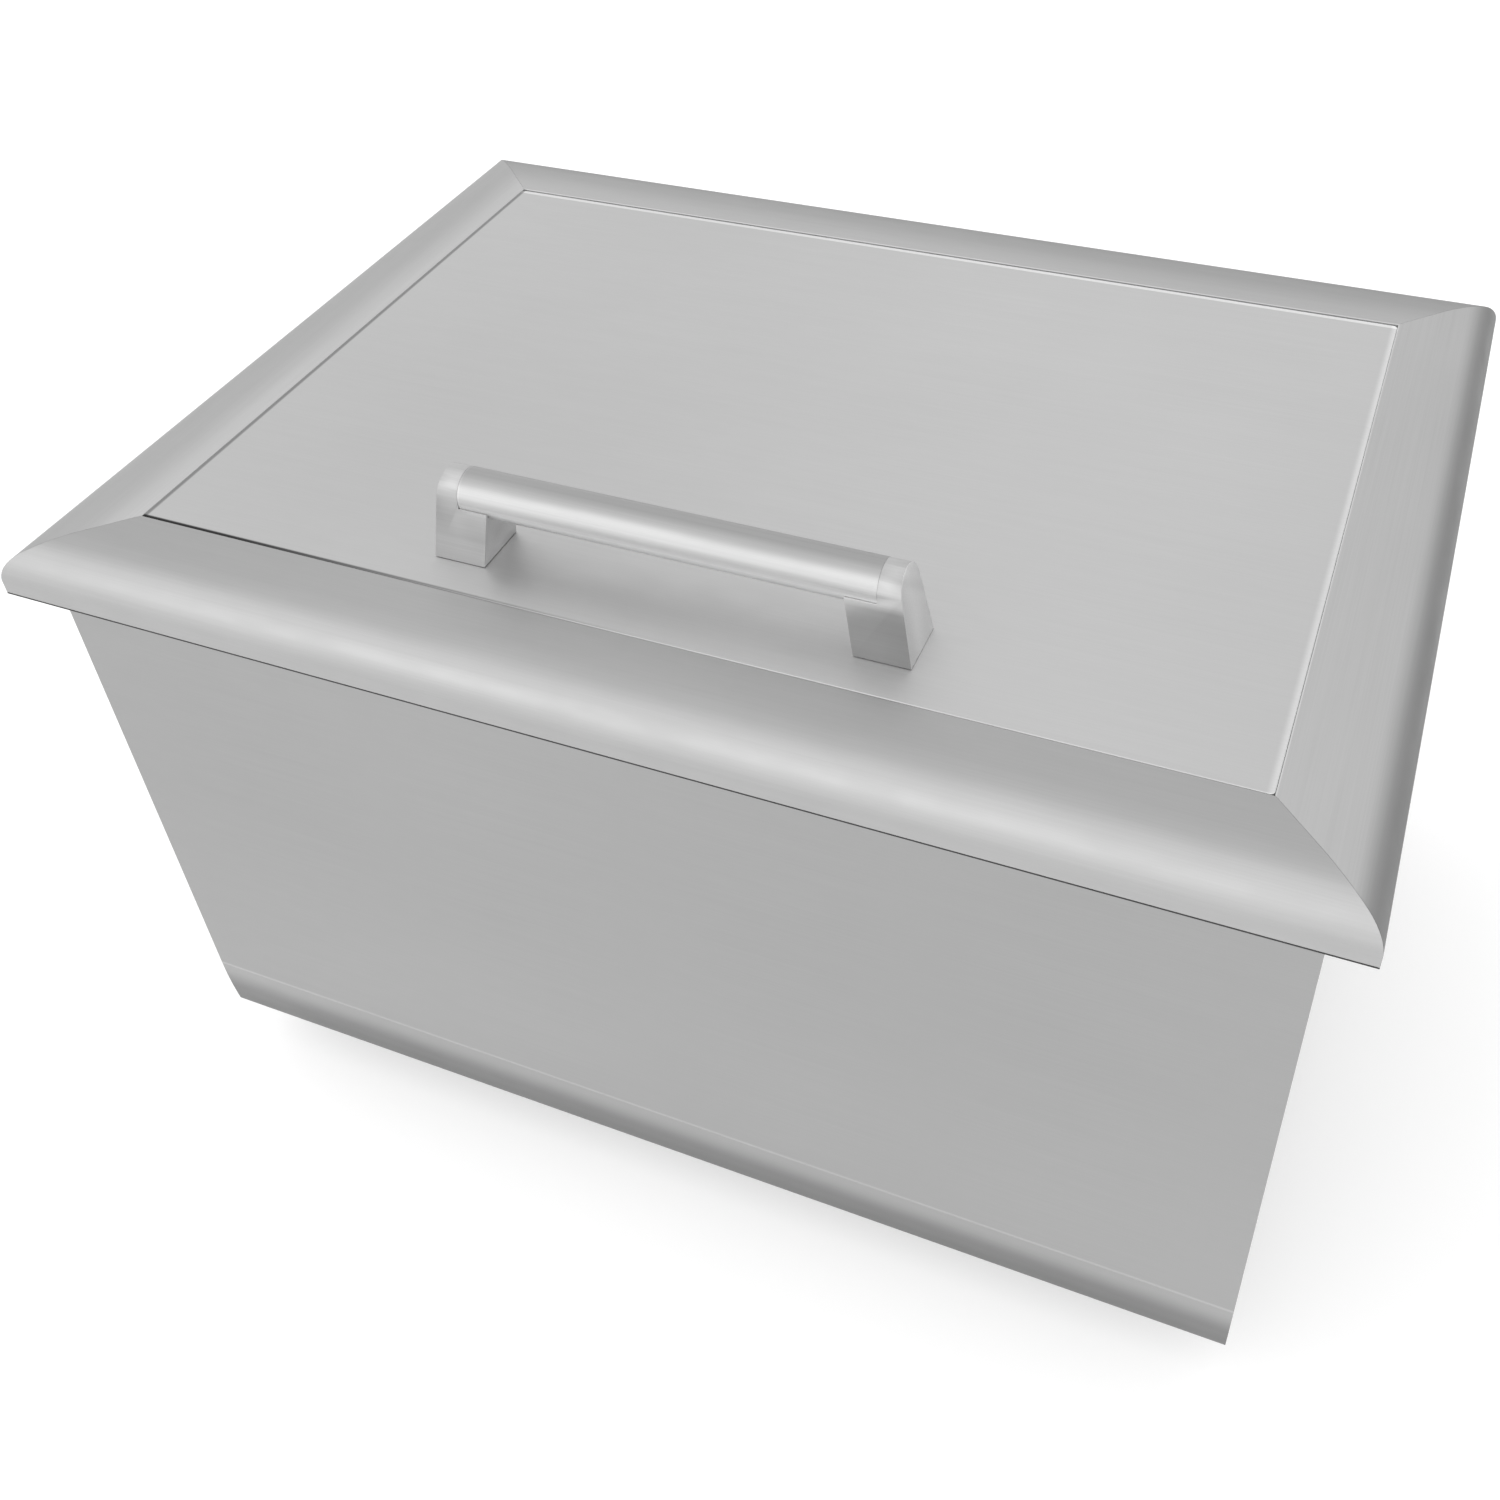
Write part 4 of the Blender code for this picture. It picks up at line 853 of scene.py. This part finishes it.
def make_post(name, side):
    section = post_section()
    outside = HANDLE_SPAN / 2
    height = TUBE_Z - POST_FOOT
    rings = []
    for place in (outside, outside - POST_LENGTH):
        ring = []
        for y, z in section:
            lean = POST_SPLAY * (TUBE_Z - z) / height
            ring.append(Vector((side * (place + lean), HANDLE_Y + y, z)))
        rings.append(ring)
    post = loft("fine_post_" + name, rings, "post_" + name)
    inner = outside - POST_LENGTH - POST_SPLAY
    joint = TUBE_HALF + SEAM
    edges = sorted((side * inner, side * joint))
    room = POST_BASE_DEPTH
    carve(post, box_between("shoulder", (edges[0], HANDLE_Y - room, TUBE_Z - SADDLE_DROP),
                            (edges[1], HANDLE_Y + room, TUBE_Z + room)))
    saddle = turned("saddle", [(TUBE_RADIUS + SEAM, 0), (TUBE_RADIUS + SEAM, joint - inner)])
    lay_along_x(saddle, (side * inner, HANDLE_Y, TUBE_Z), side)
    carve(post, saddle)
    soften(post, POST_ROUNDING, 2, POST_SHARP_ANGLE)
    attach(post, "lid")
    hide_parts("handle_post_" + name)


def make_handle():
    bore = TUBE_RADIUS - TUBE_WALL
    length = 2 * TUBE_HALF
    outline = [
        (bore, 0),
        (TUBE_RADIUS - SEAM, 0),
        (TUBE_RADIUS, SEAM),
        (TUBE_RADIUS, length - SEAM),
        (TUBE_RADIUS - SEAM, length),
        (bore, length),
    ]
    tube = turned("fine_handle_tube", outline, "tube", ring_shaped=True)
    lay_along_x(tube, (-TUBE_HALF, HANDLE_Y, TUBE_Z))
    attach(tube, "lid")
    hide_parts("handle_tube")
    for name, side in SIDES.items():
        make_post(name, side)


# Gasket, drain and plug

def make_lid_gasket():
    """A soft strip with rounded edges and a groove along its middle."""
    high = LID_BOTTOM - GAP
    low = high - LID_GASKET_THICKNESS
    inner = LID_GASKET_INSET + LID_GASKET_WIDTH
    middle = LID_GASKET_INSET + LID_GASKET_WIDTH / 2
    groove = LID_GASKET_GROOVE
    section = [
        (LID_GASKET_INSET, high),
        (LID_GASKET_INSET, low),
        (middle - groove, low),
        (middle, low + groove),
        (middle + groove, low),
        (inner, low),
        (inner, high),
    ]
    rings = []
    back = LID_BACK_INSET + HINGE_SETBACK
    for inset, level in rounded(section, SMALL_ROUNDING):
        rings.append(inset_rectangle(LID_INSET + inset, LID_CORNER, level, back + inset))
    item = loft("fine_lid_gasket", rings, "seal", ring_shaped=True)
    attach(item, "lid")
    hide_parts("lid_gasket")


def make_drain():
    seat = TUB_FLOOR + GAP
    rim = seat + DRAIN_FLANGE_THICKNESS
    neck = -SHELL_DROP - DRAIN_NECK
    tip = neck - SPOUT_LENGTH
    shelf = rim - DRAIN_SEAT_DEPTH
    outline = [
        (DRAIN_SEAT_RADIUS, rim),
        (DRAIN_FLANGE_RADIUS - DRAIN_FLANGE_THICKNESS, rim),
        (DRAIN_FLANGE_RADIUS, seat),
        (DRAIN_RADIUS, seat),
        (DRAIN_RADIUS, neck),
        (SPOUT_RADIUS, neck),
    ]
    for i in range(BARB_COUNT):
        level = neck - BARB_PITCH * (i + 1)
        outline.append((SPOUT_RADIUS, level))
        outline.append((SPOUT_RADIUS + SPOUT_BARB, level))
    outline += [(SPOUT_RADIUS, tip), (SPOUT_BORE, tip), (SPOUT_BORE, neck)]
    outline += [(DRAIN_BORE, shelf - DRAIN_THROAT), (DRAIN_BORE, shelf), (DRAIN_SEAT_RADIUS, shelf)]
    fitting = turned("fine_drain_fitting", rounded(outline, SMALL_ROUNDING / 2), "drain", ring_shaped=True)
    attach(fitting, "bin")
    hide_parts("drain_fitting")
    make_plug(shelf + STRAINER_THICKNESS + 2 * GAP, rim)


def make_plug(foot, rim):
    cap = rim + GAP
    plug_radius = DRAIN_SEAT_RADIUS - GAP
    stem_hole = KNOB_STEM_RADIUS + GAP
    outline = [
        (stem_hole, foot),
        (plug_radius - STOPPER_TAPER, foot),
        (plug_radius, rim - GAP),
        (plug_radius, cap),
        (plug_radius + STOPPER_LIP, cap),
        (plug_radius + STOPPER_LIP, cap + STOPPER_LIP),
        (stem_hole, cap + STOPPER_LIP),
    ]
    stopper = turned("fine_plug_stopper", rounded(outline, SMALL_ROUNDING), "stopper", ring_shaped=True)
    collar = cap + STOPPER_LIP + GAP
    knob_foot = collar + KNOB_LIFT
    outline = [
        (KNOB_STEM_RADIUS, foot + GAP),
        (KNOB_STEM_RADIUS, collar),
        (KNOB_COLLAR_RADIUS, collar),
        (KNOB_STEM_RADIUS, knob_foot),
        (KNOB_RADIUS, knob_foot),
        (KNOB_RADIUS, knob_foot + KNOB_THICKNESS),
        (KNOB_STEM_RADIUS / 2, knob_foot + KNOB_THICKNESS),
    ]
    knob = turned("fine_plug_knob", rounded(outline, KNOB_ROUNDING, closed=False), "screw")
    for item, name in ((stopper, "stopper"), (knob, "knob")):
        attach(item, "plug")
        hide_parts("plug_" + name)


# Materials of the CAD pieces that stay

def dress_nodes():
    slots = {row["node"]: row["material_slot"] for row in frame["record"]["subparts"]}
    for name, item in frame["nodes"].items():
        slot = slots.get(name) or item.data.materials[0].name
        look = slot
        if slot == "rail":
            look = name
        if slot == "handle":
            look = name.replace("handle_", "")
        if name.startswith("end_panel"):
            look = "panel"
        if name == "lid_inner_pan":
            look = "inner"
        for i in range(len(item.material_slots)):
            item.material_slots[i].link = "OBJECT"
            item.material_slots[i].material = LOOKS[look]


# Studio

def background_rays(tree, place):
    """One for the rays that show the background, seen straight, mirrored or through glass."""
    path = node(tree, "ShaderNodeLightPath", place)
    seen = node(tree, "ShaderNodeMath", (place[0] + 200, place[1]), operation="MAXIMUM")
    tree.links.new(path.outputs["Is Camera Ray"], seen.inputs[0])
    tree.links.new(path.outputs["Is Glossy Ray"], seen.inputs[1])
    clear = node(tree, "ShaderNodeMath", (place[0] + 300, place[1] - 150), operation="MAXIMUM")
    tree.links.new(seen.outputs["Value"], clear.inputs[0])
    tree.links.new(path.outputs["Is Transmission Ray"], clear.inputs[1])
    return clear.outputs["Value"]


def make_floor():
    """A floor that keeps the object's shadow and otherwise shows as white."""
    item = bpy.data.materials.new("studio floor")
    item.use_nodes = True
    tree = item.node_tree
    tree.nodes.clear()
    output = node(tree, "ShaderNodeOutputMaterial", (600, 0))
    diffuse = node(tree, "ShaderNodeBsdfDiffuse", (0, 100))
    diffuse.inputs["Color"].default_value = (*grey(FLOOR_TONE), 1)
    glow = node(tree, "ShaderNodeEmission", (0, -100))
    share = node(tree, "ShaderNodeMath", (-150, -100), operation="MULTIPLY")
    share.inputs[1].default_value = FLOOR_GLOW
    tree.links.new(background_rays(tree, (-600, -100)), share.inputs[0])
    tree.links.new(share.outputs["Value"], glow.inputs["Strength"])
    both = node(tree, "ShaderNodeAddShader", (300, 0))
    tree.links.new(diffuse.outputs["BSDF"], both.inputs[0])
    tree.links.new(glow.outputs["Emission"], both.inputs[1])
    tree.links.new(both.outputs["Shader"], output.inputs["Surface"])
    bm = bmesh.new()
    bmesh.ops.create_grid(bm, x_segments=1, y_segments=1, size=FLOOR_SIZE)
    floor = add_object("studio_floor", mesh_from("studio_floor", bm))
    floor.location.z = CAD_BOX[0][2] - FLOOR_GAP
    floor.data.materials.append(item)


def make_world():
    """A soft dome, brightest at the upper front left, and a white backdrop for the rays that show it."""
    world = bpy.data.worlds.new("studio")
    bpy.context.scene.world = world
    world.use_nodes = True
    tree = world.node_tree
    tree.nodes.clear()
    output = node(tree, "ShaderNodeOutputWorld", (800, 0))
    background = node(tree, "ShaderNodeBackground", (400, 0))
    place = node(tree, "ShaderNodeTexCoord", (-600, 0))
    toward = node(tree, "ShaderNodeVectorMath", (-400, 0), operation="DOT_PRODUCT")
    toward.inputs[1].default_value = Vector(DOME_TOWARD).normalized()
    tree.links.new(place.outputs["Generated"], toward.inputs[0])
    spread = ramp(tree, (-200, 0), toward.outputs["Value"], 0, 1, -1, 1)
    bands = node(tree, "ShaderNodeValToRGB", (0, 0))
    bands.color_ramp.interpolation = "EASE"
    while len(bands.color_ramp.elements) < len(DOME_STOPS):
        bands.color_ramp.elements.new(0.5)
    for element, (position, value) in zip(bands.color_ramp.elements, DOME_STOPS):
        element.position = position
        element.color = (*grey(value), 1)
    tree.links.new(spread, bands.inputs["Fac"])
    tree.links.new(bands.outputs["Color"], background.inputs["Color"])
    backdrop = node(tree, "ShaderNodeBackground", (400, -150))
    backdrop.inputs["Color"].default_value = (1, 1, 1, 1)
    seen = background_rays(tree, (-600, -400))
    height = node(tree, "ShaderNodeSeparateXYZ", (-400, -250))
    tree.links.new(place.outputs["Generated"], height.inputs["Vector"])
    low_sky = ramp(tree, (-200, -250), height.outputs["Z"], 1, 0, BACKDROP_RISE / 2, BACKDROP_RISE)
    low_sky.node.interpolation_type = "SMOOTHSTEP"
    share = multiply(tree, (200, -300), low_sky, seen)
    both = node(tree, "ShaderNodeMixShader", (600, 0))
    tree.links.new(share, both.inputs["Fac"])
    tree.links.new(background.outputs["Background"], both.inputs[1])
    tree.links.new(backdrop.outputs["Background"], both.inputs[2])
    tree.links.new(both.outputs["Shader"], output.inputs["Surface"])


def make_lamp():
    light = bpy.data.lights.new("softbox", "AREA")
    light.shape = "RECTANGLE"
    light.size, light.size_y = LAMP_SIZE
    light.energy = LAMP_POWER
    item = bpy.data.objects.new("softbox", light)
    bpy.context.scene.collection.objects.link(item)
    item.location = Vector(LAMP_PLACE)
    aim = Vector(LAMP_AIM) - item.location
    item.rotation_euler = aim.to_track_quat("-Z", "Y").to_euler()


def make_camera():
    data = bpy.data.cameras.new("camera")
    data.sensor_fit = "HORIZONTAL"
    data.sensor_width = SENSOR
    data.lens = FOCAL_PIXELS / IMAGE_PIXELS * SENSOR
    data.shift_x = (IMAGE_PIXELS / 2 - AXIS_PIXEL[0]) / IMAGE_PIXELS
    data.shift_y = (AXIS_PIXEL[1] - IMAGE_PIXELS / 2) / IMAGE_PIXELS
    data.clip_start = NEAREST
    data.clip_end = FARTHEST
    item = bpy.data.objects.new("camera", data)
    bpy.context.scene.collection.objects.link(item)
    right = Vector(CAMERA_RIGHT)
    up = -Vector(CAMERA_DOWN)
    back = -Vector(CAMERA_AHEAD)
    turn = Matrix((right, up, back)).transposed().to_4x4()
    item.matrix_world = Matrix.Translation(CAMERA_PLACE) @ turn
    bpy.context.scene.camera = item


make_camera()
make_world()
make_lamp()
make_floor()
dress_nodes()
make_rails()
make_shell()
make_tub()
make_lid()
make_handle()
make_lid_gasket()
make_drain()
bpy.context.scene.view_settings.view_transform = "Standard"
